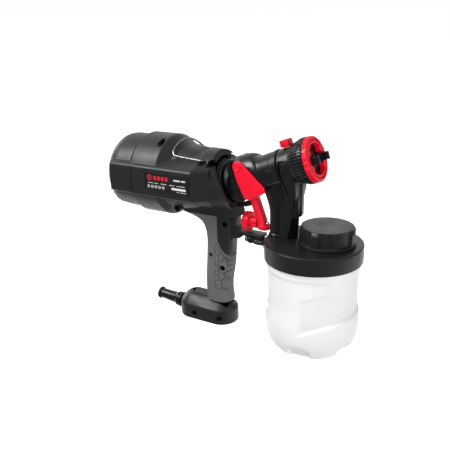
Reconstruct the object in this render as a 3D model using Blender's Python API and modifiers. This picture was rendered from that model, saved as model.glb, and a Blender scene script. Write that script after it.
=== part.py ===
"""Electric HVLP paint spray gun with an under-slung screw-on cup.

Metres, +Z up.  The gun sprays towards +X and stands on the cup's foot and the handle's foot.
The origin is the centre of the cup's foot, on the ground.
"""
import math

import bmesh
import bpy
from mathutils import Matrix, Vector

MM = 0.001
GAP = 0.3 * MM                      # between solids that touch
OBJECT_NAME = "hvlp_spray_gun"

# ---- driving dimensions -----------------------------------------------------------------
LID_R = 55.0 * MM                   # screw lid, the size everything else follows
LID_BOTTOM = 106.6 * MM
LID_TOP = 126.5 * MM
LID_WALL = 3.7 * MM
FILLER_X = 15.6 * MM                # filler opening, ahead of the cup's axis
FILLER_R = 30.0 * MM
FILLER_TOP = 146.6 * MM
NECK_R = 25.0 * MM
CUP_WALL = 1.8 * MM

MOTOR_Z = 181.0 * MM                # motor axis, level, along X
SHELL_R = 50.3 * MM
CAP_R = 47.0 * MM
SHELL_WALL = 2.7 * MM
SHELL_REAR = -215.7 * MM
CAP_REAR = -263.0 * MM
PANEL_Y = 51.0 * MM                 # raised side panels
PANEL_LOW = 165.5 * MM
PANEL_HIGH = 200.5 * MM

HEAD_TILT = math.radians(18.2)      # the spray head looks up
NOSE = Vector((1.45, 0.0, 219.3)) * MM
MOUTH = Vector((-102.6, 0.0, 180.0)) * MM
HEAD_R = 19.5 * MM
PIVOT = Vector((-84.0, 0.0, 205.5)) * MM
CHEEK_IN = 19.0 * MM
CHEEK_OUT = 22.0 * MM
KNOB_Z = 137.0 * MM

GRIP_HALF = 14.2 * MM               # handle's half width
CORE_HALF = 11.0 * MM
CORE_REAR = -133.0 * MM
CORE_FRONT = -108.5 * MM
FOOT_HALF = 21.0 * MM
FOOT_REAR = -180.0 * MM
FOOT_FRONT = -98.0 * MM
FOOT_TOP = 25.0 * MM

# housing screws: X, Z and how far out the head sits, in millimetres
SCREWS = [(-107, 132.4, 13.7), (-112.2, 75, 13.7), (-119, 207, 25.0), (-168, 149.5, 26.0)]
SCREW_HEAD_R = 3.0 * MM
SCREW_R = 2.2 * MM

HOOK_PIVOT = Vector((-125.0, 0.0, 208.0)) * MM
HOOK_WIRE_R = 1.1 * MM
CLAMP_Z = 114.6 * MM
PICKUP_X = -41.0 * MM

FINE = 36                           # steps round a large turned part
COARSE = 24                         # steps round a small one

HEAD = Matrix.Translation(NOSE) @ Matrix.Rotation(math.pi / 2 - HEAD_TILT, 4, "Y")
MOUTH_FRAME = Matrix.Translation(MOUTH) @ Matrix.Rotation(math.pi / 2 - HEAD_TILT, 4, "Y")
MOTOR = Matrix.Translation((0, 0, MOTOR_Z)) @ Matrix.Rotation(math.pi / 2, 4, "Y")
PLUNGER_FRAME = MOUTH_FRAME @ Matrix.Translation((26.8 * MM, 0, 0))
PLUNGER_R = 2.6 * MM
CORD_FRAME = (Matrix.Translation((FOOT_REAR, 0, 11 * MM))
              @ Matrix.Rotation(-math.pi / 2 + math.radians(4), 4, "Y"))
KNOB_FRAME = Matrix.Translation((-68.6 * MM, 0, KNOB_Z)) @ Matrix.Rotation(-math.pi / 2, 4, "Y")

BLACK = (0.022, 0.023, 0.026, 1.0)
RED = (0.62, 0.012, 0.025, 1.0)
GREY = (0.23, 0.24, 0.25, 1.0)
STEEL = (0.62, 0.61, 0.58, 1.0)
BRASS = (0.65, 0.47, 0.20, 1.0)
WHITE = (0.86, 0.87, 0.86, 1.0)
COPPER = (0.55, 0.24, 0.12, 1.0)


# ---- scene and material helpers ---------------------------------------------------------
def clear_scene():
    for old in list(bpy.data.objects):
        bpy.data.objects.remove(old, do_unlink=True)


def new_collection(name):
    made = bpy.data.collections.new(name)
    bpy.context.scene.collection.children.link(made)
    return made


def principled(name, colour, roughness=0.5, metallic=0.0):
    made = bpy.data.materials.new(name)
    made.use_nodes = True
    shader = made.node_tree.nodes["Principled BSDF"]
    shader.inputs["Base Color"].default_value = colour
    shader.inputs["Roughness"].default_value = roughness
    shader.inputs["Metallic"].default_value = metallic
    return made


def place(name, mesh, frame, look=None):
    """A mesh object at a frame: a part when it has a look (colour, roughness, metallic), else a cutter."""
    made = bpy.data.objects.new(name, mesh)
    made.matrix_world = frame
    if look is None:
        CUTTERS.objects.link(made)
        made.hide_render = True
        made.display_type = "WIRE"
    else:
        PARTS.objects.link(made)
        mesh.materials.append(principled(name, *look))
    return made


def on_axis(made, point):
    """Moves the object's origin to a point of its joint's axis without moving the shape."""
    shift = made.matrix_world.inverted() @ Vector(point)
    made.data.transform(Matrix.Translation(-shift))
    made.matrix_world = made.matrix_world @ Matrix.Translation(shift)
    return made


# ---- shape helpers ----------------------------------------------------------------------
def turned(name, profile, frame=Matrix.Identity(4), look=None, steps=FINE):
    """Turns (radius, height) points about the frame's Z; a profile that leaves the axis is a closed loop."""
    mesh = bpy.data.meshes.new(name)
    points = [(radius, 0.0, height) for radius, height in profile]
    edges = [(i, i + 1) for i in range(len(points) - 1)]
    if profile[0][0] > 0:
        edges.append((len(points) - 1, 0))
    mesh.from_pydata(points, edges, [])
    made = place(name, mesh, frame, look)
    screw = made.modifiers.new("turn", "SCREW")
    screw.axis = "Z"
    screw.steps = steps
    screw.render_steps = steps
    screw.use_merge_vertices = True
    screw.merge_threshold = 0.00001
    return made


def box(name, low, high, frame=Matrix.Identity(4), look=None, round_edge=0.0, segments=2):
    """A box between two corners of a frame, with rounded edges where a radius is given."""
    low = Vector(low)
    high = Vector(high)
    mesh = bpy.data.meshes.new(name)
    shape = bmesh.new()
    size = high - low
    bmesh.ops.create_cube(shape, size=1.0, matrix=Matrix.Translation((low + high) / 2)
                          @ Matrix.Diagonal((size.x, size.y, size.z, 1.0)))
    shape.to_mesh(mesh)
    shape.free()
    made = place(name, mesh, frame, look)
    if round_edge:
        bevel(made, round_edge, segments)
    return made


def bevel(made, width, segments=2, above=30.0):
    edge = made.modifiers.new("round", "BEVEL")
    edge.width = width
    edge.segments = segments
    edge.limit_method = "ANGLE"
    edge.angle_limit = math.radians(above)


def plate(name, outline, low, high, plane="XZ", frame=Matrix.Identity(4), look=None):
    """A flat outline, given in XZ or XY, made solid between two levels of the third axis."""
    curve = bpy.data.curves.new(name, "CURVE")
    curve.dimensions = "2D"
    curve.fill_mode = "BOTH"
    curve.extrude = (high - low) / 2
    spline = curve.splines.new("POLY")
    spline.points.add(len(outline) - 1)
    for point, (u, v) in zip(spline.points, outline):
        point.co = (u, v, 0.0, 1.0)
    spline.use_cyclic_u = True
    middle = (low + high) / 2
    if plane == "XZ":
        lie = Matrix.Translation((0, middle, 0)) @ Matrix.Rotation(math.pi / 2, 4, "X")
    else:
        lie = Matrix.Translation((0, 0, middle))
    mesh = curve_mesh(name, curve)
    mesh.transform(lie)
    return place(name, mesh, frame, look)


def wire(name, points, radius, frame=Matrix.Identity(4), look=None, resolution=2):
    """A round bar along a list of points."""
    curve = bpy.data.curves.new(name, "CURVE")
    curve.dimensions = "3D"
    curve.bevel_depth = radius
    curve.bevel_resolution = resolution
    curve.use_fill_caps = True
    spline = curve.splines.new("POLY")
    spline.points.add(len(points) - 1)
    for point, where in zip(spline.points, points):
        point.co = (*where, 1.0)
    return place(name, curve_mesh(name, curve), frame, look)


def curve_mesh(name, curve):
    """The curve as a closed mesh with its caps welded on."""
    helper = bpy.data.objects.new(name + "_curve", curve)
    bpy.context.scene.collection.objects.link(helper)
    seen = helper.evaluated_get(bpy.context.evaluated_depsgraph_get())
    mesh = bpy.data.meshes.new_from_object(seen)
    bpy.data.objects.remove(helper, do_unlink=True)
    shape = bmesh.new()
    shape.from_mesh(mesh)
    bmesh.ops.remove_doubles(shape, verts=shape.verts, dist=0.00001)
    bmesh.ops.recalc_face_normals(shape, faces=shape.faces)
    shape.to_mesh(mesh)
    shape.free()
    mesh.name = name
    return mesh


def blocks(name, boxes, frame=Matrix.Identity(4)):
    """One cutter made of many boxes, each given as its own matrix on a unit cube."""
    mesh = bpy.data.meshes.new(name)
    shape = bmesh.new()
    for matrix in boxes:
        bmesh.ops.create_cube(shape, size=1.0, matrix=matrix)
    shape.to_mesh(mesh)
    shape.free()
    return place(name, mesh, frame)


def combine(made, other, operation):
    step = made.modifiers.new(operation.lower(), "BOOLEAN")
    step.operation = operation
    step.solver = "EXACT"
    step.object = other
    return made


def add(made, other):
    return combine(made, other, "UNION")


def cut(made, other):
    return combine(made, other, "DIFFERENCE")


def rod(name, radius, low, high, frame, look=None, steps=COARSE):
    """A plain solid cylinder between two heights of a frame."""
    return turned(name, [(0, high), (radius, high), (radius, low), (0, low)], frame, look, steps)


def tube(name, inner, outer, low, high, frame, look=None, steps=COARSE):
    return turned(name, [(outer, high), (outer, low), (inner, low), (inner, high)], frame, look, steps)


def across(x, z):
    """A frame whose Z runs along +Y through a point of the XZ plane."""
    return Matrix.Translation((x, 0, z)) @ Matrix.Rotation(-math.pi / 2, 4, "X")


def arc(centre, radius, start, stop, count):
    """Points on an arc, angles in degrees, in either direction."""
    turns = [math.radians(start + (stop - start) * i / (count - 1)) for i in range(count)]
    return [(centre[0] + radius * math.cos(t), centre[1] + radius * math.sin(t)) for t in turns]


def mm(*pairs):
    return [(u * MM, v * MM) for u, v in pairs]


# ---- motor housing ----------------------------------------------------------------------
def shell_profile(inset, front, rear):
    """The shell's half section, shrunk by the wall for the cavity."""
    steps = mm((33.5, -118), (37.0, -132), (39.5, -160), (50.3, -181))
    middle = [(radius - inset, height) for radius, height in steps]
    return ([(0, front), (middle[0][0], front)] + middle
            + [(SHELL_R - inset, rear), (0, rear)])


def core_block():
    """The handle's black front and the root under the shell, level with the soft grip behind them."""
    outline = mm((-104.3, 101), (-101.4, 102.5), (-100.3, 112), (-99.3, 156), (-178, 156), (-176, 145),
                 (-170, 141.1), (-116.7, 141.1), (-116.7, 116), (-110, 105.9))
    block = plate("core_block", outline, -GRIP_HALF, GRIP_HALF)
    bevel(block, 3 * MM, 2, 80)
    return block


def side_panel(side):
    """The raised flat on one side of the shell, chamfered at its front."""
    root = side * 28 * MM
    outline = [(SHELL_REAR, root), (SHELL_REAR, side * PANEL_Y), (-128 * MM, side * PANEL_Y),
               (-113 * MM, side * 37 * MM), (-113 * MM, root)]
    return plate("panel_block", outline, PANEL_LOW, PANEL_HIGH, "XY")


def housing_half(name, side):
    """One clamshell half of the motor housing and the handle's core, hollow inside."""
    half = turned(name, shell_profile(0, -90 * MM, SHELL_REAR), MOTOR, (BLACK, 0.45, 0.0))
    add(half, side_panel(side))
    add(half, box("handle_core", (CORE_REAR, -CORE_HALF, 26 * MM), (CORE_FRONT, CORE_HALF, 156 * MM)))
    add(half, core_block())
    add(half, rod("hook_ear", 3.6 * MM, -25.2 * MM, 25.2 * MM, across(HOOK_PIVOT.x, HOOK_PIVOT.z)))
    cut(half, turned("shell_cavity", shell_profile(SHELL_WALL, -80 * MM, SHELL_REAR - 2 * MM), MOTOR))
    cut(half, box("handle_cavity", (-130 * MM, -8.5 * MM, 20 * MM), (-116 * MM, 8.5 * MM, 170 * MM)))
    cut(half, box("mouth_plane", (-80 * MM, -60 * MM, -3 * MM - GAP), (80 * MM, 60 * MM, 60 * MM),
                  MOUTH_FRAME))
    cut(half, rod("plunger_way", 3.2 * MM, -26 * MM, 2 * MM, PLUNGER_FRAME, None, 16))
    other = -side * 80 * MM
    low, high = sorted((other, side * GAP / 2))
    cut(half, box("other_half", (-300 * MM, low, 0), (0, high, 300 * MM)))
    for x, z, reach in SCREWS:
        frame = across(x * MM, z * MM)
        cut(half, rod("screw_hole", SCREW_R + GAP, -60 * MM, 7.3 * MM, frame))
        cut(half, rod("screw_well", SCREW_HEAD_R + GAP, -60 * MM, (4 - reach) * MM, frame))
    return half


def screw(index, x, z, reach):
    """A housing screw: its head at the bottom of its well, its shank across the split."""
    head = (3.6 - reach) * MM
    profile = [(0, 7 * MM), (SCREW_R, 7 * MM), (SCREW_R, head), (SCREW_HEAD_R, head),
               (SCREW_HEAD_R, head - 2.2 * MM), (0, head - 2.2 * MM)]
    turned(f"screw_{index}", profile, across(x * MM, z * MM), (STEEL, 0.3, 1.0), 16)


def rear_cap():
    wall = 2.7 * MM
    corner = 24 * MM
    front = SHELL_REAR - GAP
    middle = (CAP_R - corner, CAP_REAR + corner)
    outer = [(CAP_R, front)] + arc(middle, corner, 0, -90, 6) + [(0, CAP_REAR)]
    inner = [(0, CAP_REAR + wall)] + arc(middle, corner - wall, -90, 0, 6) + [(CAP_R - wall, front)]
    cap = turned("rear_cap", inner + outer, MOTOR, (BLACK, 0.45, 0.0))
    for side in (-1, 1):
        low, high = sorted((side * 41 * MM, side * (PANEL_Y - 1.6 * MM)))
        add(cap, box("cap_panel", (-246 * MM, low, PANEL_LOW + 0.5 * MM),
                     (front, high, PANEL_HIGH - 0.5 * MM)))
    slots = []
    for i in range(8):
        turn = Matrix.Rotation(math.tau * (i + 0.5) / 8, 4, "Z")
        slots.append(turn @ Matrix.Translation((15 * MM, 0, CAP_REAR))
                     @ Matrix.Diagonal((14 * MM, 3.2 * MM, 8 * MM, 1)))
    cut(cap, blocks("cap_slots", slots, MOTOR))
    on_axis(cap, (front, 0, MOTOR_Z))


def mouth_ring():
    """The dark ring at the housing's mouth that the spray head locks on to."""
    ring = tube("mouth_ring", 22.5 * MM, 31 * MM, -3 * MM, 3 * MM, MOUTH_FRAME, (BLACK, 0.35, 0.0), 32)
    cut(ring, rod("plunger_hole", 2.9 * MM, -9 * MM, 9 * MM, PLUNGER_FRAME, None, 16))


def label_plate():
    box("label_plate", (-191 * MM, -PANEL_Y - 0.9 * MM, 172 * MM), (-130 * MM, -PANEL_Y - GAP, 194.5 * MM),
        look=(BLACK, 0.25, 0.0))


def wire_hook():
    """The bent-wire bail that the gun hangs from, lying back over the housing's neck."""
    side = [(-125, 25.6, 208), (-125, 27.5, 208), (-127, 28.5, 208.2), (-157, 31, 211.5), (-163, 30.4, 214),
            (-165.5, 26.5, 219), (-166, 18, 224), (-166, 9, 227)]
    right = [Vector((x, -y, z)) * MM for x, y, z in side]
    left = [Vector((x, y, z)) * MM for x, y, z in reversed(side)]
    top = [Vector((-166, 0, 228)) * MM]
    on_axis(wire("wire_hook", right + top + left, HOOK_WIRE_R, look=(STEEL, 0.25, 1.0)), HOOK_PIVOT)


# ---- handle -----------------------------------------------------------------------------
def grip_overmould():
    """The soft grip: round the whole handle below, and behind the black front above."""
    outline = mm((-101.4, 97.6), (-110.2, 105.1), (-117, 115.8), (-117, 140.8), (-152.5, 140.8),
                 (-151.5, 138),
                 (-145, 133.5), (-139.5, 127), (-136.8, 118), (-136.3, 103), (-137.6, 82), (-139.2, 56),
                 (-138.7, 30),
                 (-104.4, 30), (-105.2, 44), (-104, 62), (-102.3, 80))
    grip = plate("grip_overmould", outline, -GRIP_HALF, GRIP_HALF, look=(GREY, 0.6, 0.0))
    bevel(grip, 3 * MM, 3, 80)
    cut(grip, box("core_room", (CORE_REAR - GAP, -CORE_HALF - GAP, 20 * MM),
                  (CORE_FRONT + GAP, CORE_HALF + GAP, 160 * MM)))
    cut(grip, rod("grip_well", SCREW_HEAD_R + GAP, -60 * MM, 60 * MM, across(-112.2 * MM, 75 * MM)))


def stadium(x_low, x_high, half):
    """An outline in XY with round ends."""
    rear = arc((x_low + half, 0), half, 90, 270, 9)
    front = arc((x_high - half, 0), half, -90, 90, 9)
    return rear + front


def base_foot():
    """The handle's foot: a hollow shoe that runs back under the cord's outlet."""
    foot = plate("base_foot", stadium(FOOT_REAR, FOOT_FRONT, FOOT_HALF), 0, FOOT_TOP, "XY",
                 look=(BLACK, 0.5, 0.0))
    bevel(foot, 6 * MM, 2, 80)
    inside = stadium(FOOT_REAR + 3 * MM, FOOT_FRONT - 3 * MM, FOOT_HALF - 3 * MM)
    cut(foot, plate("foot_cavity", inside, 3 * MM, 18 * MM, "XY"))
    cut(foot, box("core_socket", (CORE_REAR - GAP, -CORE_HALF - GAP, 10 * MM),
                  (CORE_FRONT + GAP, CORE_HALF + GAP, 40 * MM)))
    cut(foot, rod("cord_hole", 5.3 * MM, -30 * MM, 30 * MM, CORD_FRAME))


def strain_relief():
    """The ribless sleeve that guards the cord where it leaves the foot, open right through."""
    profile = mm((8.0, 38), (8.0, 36), (6.4, 35), (6.6, 20), (7.6, 9), (9.5, 8), (9.8, 1.2), (5.0, 1.0),
                 (5.0, -8),
                 (3.6, -8), (3.6, 38))
    turned("strain_relief", profile, CORD_FRAME, (BLACK, 0.3, 0.0), 16)


def cord_clamp():
    clamp = box("cord_clamp", (-164 * MM, -8 * MM, 3.3 * MM), (-152 * MM, 8 * MM, 9 * MM),
                look=(BLACK, 0.5, 0.0),
                round_edge=1 * MM, segments=1)
    cut(clamp, rod("cord_groove", 3.4 * MM, -200 * MM, 200 * MM,
                   Matrix.Translation((0, 0, 11 * MM)) @ Matrix.Rotation(math.pi / 2, 4, "Y")))


def capacitor():
    rod("capacitor", 6 * MM, 62 * MM, 92 * MM, Matrix.Translation((-123 * MM, 0, 0)), (BRASS, 0.4, 0.0), 20)


def switch():
    box("switch_box", (-129 * MM, -7 * MM, 130 * MM), (-117 * MM, 7 * MM, 146 * MM), look=(BLACK, 0.4, 0.0),
        round_edge=1 * MM, segments=1)
    plunger = rod("switch_plunger", PLUNGER_R, -10 * MM, 9 * MM, PLUNGER_FRAME, (BLACK, 0.35, 0.0), 16)
    add(plunger, box("plunger_paddle", (-3 * MM, -4 * MM, 8.2 * MM), (3.2 * MM, 4 * MM, 18.2 * MM),
                     PLUNGER_FRAME))


def strut():
    """The rail from the handle's front to the clamp behind the lid."""
    outline = mm((-98.9, 114.5), (-90, 116), (-87, 120), (-61, 120), (-61, 123.8), (-93.6, 124),
                 (-96.3, 127.5), (-96.5, 141), (-98.5, 141))
    plate("strut", outline, -7.5 * MM, 7.5 * MM, look=(BLACK, 0.45, 0.0))


# ---- motor and turbine ------------------------------------------------------------------
def motor():
    can = mm((27, -197), (27, -246), (8.4, -246), (8.4, -244), (25, -244), (25, -197))
    turned("motor_can", can, MOTOR, (STEEL, 0.4, 1.0), 24)
    for name, x in (("bearing_rear", -243.7), ("bearing_front", -203)):
        outer = 8.0 if name == "bearing_rear" else 10.0
        tube(name, 3.3 * MM, outer * MM, x * MM, (x + 5) * MM, MOTOR, (STEEL, 0.25, 1.0), 20)
    shield = tube("motor_shield", 10.3 * MM, 24.7 * MM, -202 * MM, -198 * MM, MOTOR, (BLACK, 0.5, 0.0), 20)
    holes(shield, 4, 17.5 * MM, 3 * MM, -210 * MM, -190 * MM)
    armature = mm((0, -142), (3, -142), (3, -206), (15, -208), (15, -236), (3, -237), (3, -247), (0, -247))
    turned("armature", armature, MOTOR, (COPPER, 0.4, 0.8), 24)


def holes(made, count, ring, radius, low, high, frame=MOTOR):
    """A ring of round holes through a turned part."""
    for i in range(count):
        angle = math.tau * i / count
        centre = Matrix.Translation((ring * math.cos(angle), ring * math.sin(angle), 0))
        cut(made, rod("hole", radius, low, high, frame @ centre, None, 8))


def impeller(name, x):
    """A turbine wheel: a thin disc on a hub with straight blades in front."""
    profile = mm((7, x + 7), (7, x + 2), (31, x + 1.6), (31, x), (3.3, x), (3.3, x + 7))
    wheel = turned(name, profile, MOTOR, (WHITE, 0.4, 0.0), 20)
    blades = []
    for i in range(8):
        turn = Matrix.Rotation(math.tau * i / 8, 4, "Z")
        blades.append(turn @ Matrix.Translation((18 * MM, 0, (x + 3.5) * MM))
                      @ Matrix.Diagonal((24 * MM, 1.2 * MM, 5 * MM, 1)))
    add(wheel, blocks("blades", blades, MOTOR))


def motor_mounts():
    mount = tube("motor_mount", 27.3 * MM, 45.4 * MM, -208 * MM, -200 * MM, MOTOR, (BLACK, 0.8, 0.0), 28)
    holes(mount, 4, 36 * MM, 4.5 * MM, -220 * MM, -190 * MM)
    diffuser = tube("diffuser", 8 * MM, 36.2 * MM, -161.6 * MM, -158.8 * MM, MOTOR, (BLACK, 0.5, 0.0), 28)
    holes(diffuser, 4, 20 * MM, 5 * MM, -170 * MM, -150 * MM)
    rod("air_filter", 30 * MM, -259 * MM, -250 * MM, MOTOR, (GREY, 0.9, 0.0), 32)


# ---- spray head -------------------------------------------------------------------------
def head_body():
    """The head's casting: rear collar, tilted barrel, saddle, and the riser that stands on the lid."""
    head = turned("head_body", mm((0, 17), (19, 17), (22.6, 10), (23, 8.8), (23, 3.3), (0, 3.3)),
                  MOUTH_FRAME,
                  (BLACK, 0.42, 0.0), 32)
    add(head, rod("head_barrel", HEAD_R, -100 * MM, -40.3 * MM, HEAD, None, 32))
    add(head, turned("saddle", mm((0, 23.5), (4, 23.3), (8, 20), (9, 10), (0, 10)),
                     HEAD @ Matrix.Translation((0, 0, -80 * MM)) @ Matrix.Rotation(-math.pi / 2, 4, "Y"),
                     None, 14))
    for side in (-1, 1):
        low, high = sorted((side * 18.2 * MM, side * 50 * MM))
        cut(head, box("cheek_room", (-92 * MM, low, 150 * MM), (-47 * MM, high, 240 * MM)))
    riser = plate("riser", mm((-51.5, 126.8), (-15.4, 126.8), (-15.4, 185.5), (-34, 185.5),
                              (-38, 196), (-49.5, 190), (-51.5, 176)), -10 * MM, 10 * MM)
    bevel(riser, 4 * MM, 2, 80)
    add(head, riser)
    cut(head, rod("air_bore", 14 * MM, -125 * MM, -45 * MM, HEAD, None, 24))
    cut(head, rod("tube_bore", 6.3 * MM, -60 * MM, -30 * MM, HEAD, None, 20))
    holes(head, 4, 10.3 * MM, 2.6 * MM, -50 * MM, -30 * MM, HEAD)
    cut(head, rod("pickup_bore", 4.4 * MM, 120 * MM, 200 * MM, Matrix.Translation((PICKUP_X, 0, 0)), None,
                  16))
    cut(head, box("channel", (-16.6 * MM, -4 * MM, 132 * MM), (-10 * MM, 4 * MM, 180 * MM)))
    cut(head, rod("pin_bore", 2.8 * MM, -30 * MM, 30 * MM, across(PIVOT.x, PIVOT.z), None, 16))


def fluid_line():
    tube("fluid_tube", 3 * MM, 6 * MM, -98 * MM, -42 * MM, HEAD, (STEEL, 0.35, 1.0))
    nozzle = mm((1.9, -4), (2.6, -12), (6, -20), (6, -41.7), (3, -41.7), (3, -14), (1.2, -8), (1.2, -4))
    turned("fluid_nozzle", nozzle, HEAD, (BRASS, 0.3, 1.0), COARSE)
    cage = mm((7.5, -98.3), (7.5, -128), (1.6, -128), (1.6, -125.5), (5.8, -125.5), (5.8, -98.3))
    turned("needle_cage", cage, HEAD, (BLACK, 0.4, 0.0), COARSE)
    needle = mm((0, -5), (0.85, -6.5), (0.85, -13), (1.2, -16), (1.2, -102), (4.8, -102), (4.8, -105),
                (1.2, -105), (1.2, -127), (0, -127))
    turned("needle", needle, HEAD, (STEEL, 0.2, 1.0), 16)
    turns, length, reach = 5, 13 * MM, 4.4 * MM
    coil = []
    for i in range(turns * 8 + 1):
        angle = math.tau * i / 8
        height = -119 * MM + length * i / (turns * 8)
        coil.append((reach * math.cos(angle), reach * math.sin(angle), height))
    wire("needle_spring", coil, 0.5 * MM, HEAD, (STEEL, 0.3, 1.0), 1)


def nozzle_group():
    """Everything in front of the head: barrel, lock nut, air cap and its ring."""
    barrel = mm((16.8, -12.5), (16.8, -24.2), (19.5, -24.2), (19.5, -40), (14, -40), (14, -12.5))
    made = turned("nozzle_barrel", barrel, HEAD, (BLACK, 0.4, 0.0), 32)
    notches = [Matrix.Translation((0.5 * MM, -19.5 * MM, -38 * MM)) @ Matrix.Diagonal((1.6 * MM, 2 * MM,
                                                                                       6 * MM, 1))]
    cut(made, blocks("bayonet_notch", notches, HEAD))
    nut = mm((24.6, -6.2), (25.4, -7.5), (25.4, -12.5), (23.6, -13.5), (21.3, -24), (17.1, -24),
             (17.1, -6.2))
    lock = turned("lock_nut", nut, HEAD, (BLACK, 0.45, 0.0), 32)
    ribs = []
    for i in range(12):
        turn = Matrix.Rotation(math.tau * (i + 0.5) / 12, 4, "Z")
        ribs.append(turn @ Matrix.Translation((23.6 * MM, 0, -19.2 * MM)) @ Matrix.Rotation(-0.2, 4, "Y")
                    @ Matrix.Diagonal((2.4 * MM, 1.6 * MM, 9 * MM, 1)))
    cut(lock, blocks("nut_grooves", ribs, HEAD))
    ring = mm((23.8, 0), (25.1, -1.3), (25.1, -5.9), (16.9, -5.9), (16.9, -1.2), (18, 0))
    red = turned("air_cap_ring", ring, HEAD, (RED, 0.35, 0.0), 32)
    pockets = []
    for i in range(12):
        turn = Matrix.Rotation(math.tau * (i + 0.5) / 12, 4, "Z")
        pockets.append(turn @ Matrix.Translation((25.1 * MM, 0, -3.7 * MM))
                       @ Matrix.Diagonal((1.6 * MM, 3.6 * MM, 2.8 * MM, 1)))
    cut(red, blocks("ring_pockets", pockets, HEAD))
    cap = mm((16.5, -6.5), (16.5, -10), (3.2, -10), (3.2, -5.5), (8, -5), (9, -6.5))
    air = turned("air_cap", cap, HEAD, (BLACK, 0.35, 0.0), 32)
    for side in (-1, 1):
        low, high = sorted((side * 10 * MM, side * 15.5 * MM))
        add(air, box("horn", (-4.2 * MM, low, -9 * MM), (4.2 * MM, high, 7.5 * MM), HEAD))
    box("pattern_slider", (-28 * MM, -5.5 * MM, -35.5 * MM), (-20 * MM, 5.5 * MM, -25 * MM), HEAD,
        (RED, 0.35, 0.0), 1 * MM, 1)


# ---- trigger ----------------------------------------------------------------------------
def cheek_outline():
    top = arc((PIVOT.x, PIVOT.z), 8 * MM, 200, 40, 9)
    rest = mm((-51, 185), (-49.8, 182.4), (-51, 179.5), (-66, 170.5), (-77, 172.5), (-83.5, 181),
              (-88.5, 193))
    return top + rest


def trigger():
    """Two cheeks on the pivot pin, a web under the head, and the finger bar."""
    made = plate("trigger", cheek_outline(), -CHEEK_OUT, CHEEK_OUT, look=(RED, 0.35, 0.0))
    room = mm((-100, 230), (-40, 230), (-40, 170), (-54, 176), (-54.5, 179), (-76, 171.6), (-100, 163.5))
    cut(made, plate("head_room", room, -CHEEK_IN, CHEEK_IN))
    bar = plate("finger_bar", mm((-76, 166.5), (-67, 174), (-64, 172.5), (-56.5, 141), (-54.5, 136),
                                 (-54.8, 129.5),
                                 (-63, 128.8), (-66.6, 132), (-66.9, 139)), -6.5 * MM, 6.5 * MM)
    bevel(bar, 2 * MM, 2, 80)
    add(made, bar)
    frame = across(PIVOT.x, PIVOT.z)
    cut(made, rod("pin_room", 2.8 * MM, -40 * MM, 40 * MM, frame, None, 16))
    cut(made, rod("screw_room", 2.8 * MM, -30 * MM, 40 * MM, KNOB_FRAME, None, 16))
    on_axis(made, PIVOT)
    rod("trigger_pin", 2.5 * MM, -23 * MM, 23 * MM, frame, (STEEL, 0.3, 1.0), 16)


def flow_control():
    """The paint-flow knob and its screw, carried by the finger bar."""
    profile = mm((11.5, 17.5), (11.5, 10.5), (7.5, 10), (7.5, 0.5), (2.8, 0.5), (2.8, 17.5))
    knob = turned("flow_knob", profile, KNOB_FRAME, (RED, 0.35, 0.0), 24)
    flutes = []
    for i in range(12):
        turn = Matrix.Rotation(math.tau * i / 12, 4, "Z")
        flutes.append(turn @ Matrix.Translation((11.7 * MM, 0, 14 * MM))
                      @ Matrix.Diagonal((1.6 * MM, 1.4 * MM, 9 * MM, 1)))
    cut(knob, blocks("knob_flutes", flutes, KNOB_FRAME))
    screw_profile = mm((0, 18.2), (2.5, 18.2), (2.5, -12.4), (0, -12.4))
    turned("flow_screw", screw_profile, KNOB_FRAME, (STEEL, 0.3, 1.0), 16)


# ---- lid, cup and filler ----------------------------------------------------------------
def lid():
    plate_low = LID_TOP - LID_WALL
    inner_r = LID_R - LID_WALL
    profile = [(0, LID_TOP), (LID_R - 2 * MM, LID_TOP), (LID_R - 0.6 * MM, LID_TOP - 0.6 * MM),
               (LID_R, LID_TOP - 2 * MM), (LID_R, LID_BOTTOM), (inner_r, LID_BOTTOM), (inner_r, plate_low),
               (0, plate_low)]
    made = turned("lid", profile, look=(BLACK, 0.45, 0.0), steps=36)
    at_filler = Matrix.Translation((FILLER_X, 0, 0))
    add(made, rod("filler_neck", NECK_R, plate_low + 1 * MM, 138 * MM, at_filler, None, 32))
    cut(made, rod("filler_bore", NECK_R - 2.5 * MM, 100 * MM, 150 * MM, at_filler, None, 30))
    add(made, box("clamp_lug", (-60 * MM, -6 * MM, 108 * MM), (-53 * MM, 6 * MM, 119.6 * MM)))
    cut(made, rod("pickup_room", 4.4 * MM, 100 * MM, 150 * MM, Matrix.Translation((PICKUP_X, 0, 0)), None,
                  16))
    tube("lid_gasket", 48 * MM, 50.6 * MM, 120.3 * MM, plate_low - GAP, Matrix.Identity(4),
         (GREY, 0.7, 0.0), 28)


def filler_cap():
    under = 142.4 * MM
    profile = [(0, FILLER_TOP), (FILLER_R - 3 * MM, FILLER_TOP),
               (FILLER_R - 0.8 * MM, FILLER_TOP - 3.4 * MM),
               (FILLER_R - 0.4 * MM, LID_TOP + 3 * MM), (FILLER_R, LID_TOP + 2.6 * MM),
               (FILLER_R, LID_TOP + GAP),
               (NECK_R + GAP, LID_TOP + GAP), (NECK_R + GAP, under), (0, under)]
    at_filler = Matrix.Translation((FILLER_X, 0, 0))
    cap = turned("filler_cap", profile, at_filler, (BLACK, 0.45, 0.0), 32)
    recesses = []
    for i in range(8):
        turn = Matrix.Rotation(math.tau * (i + 0.5) / 8, 4, "Z")
        recesses.append(turn @ Matrix.Translation((FILLER_R, 0, 136.5 * MM))
                        @ Matrix.Diagonal((2.4 * MM, 9 * MM, 12 * MM, 1)))
    cut(cap, blocks("grip_recesses", recesses, at_filler))
    tube("filler_gasket", NECK_R - 2.5 * MM, NECK_R - 0.3 * MM, 138.3 * MM, under - GAP, at_filler,
         (GREY, 0.7, 0.0), 32)


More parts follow.
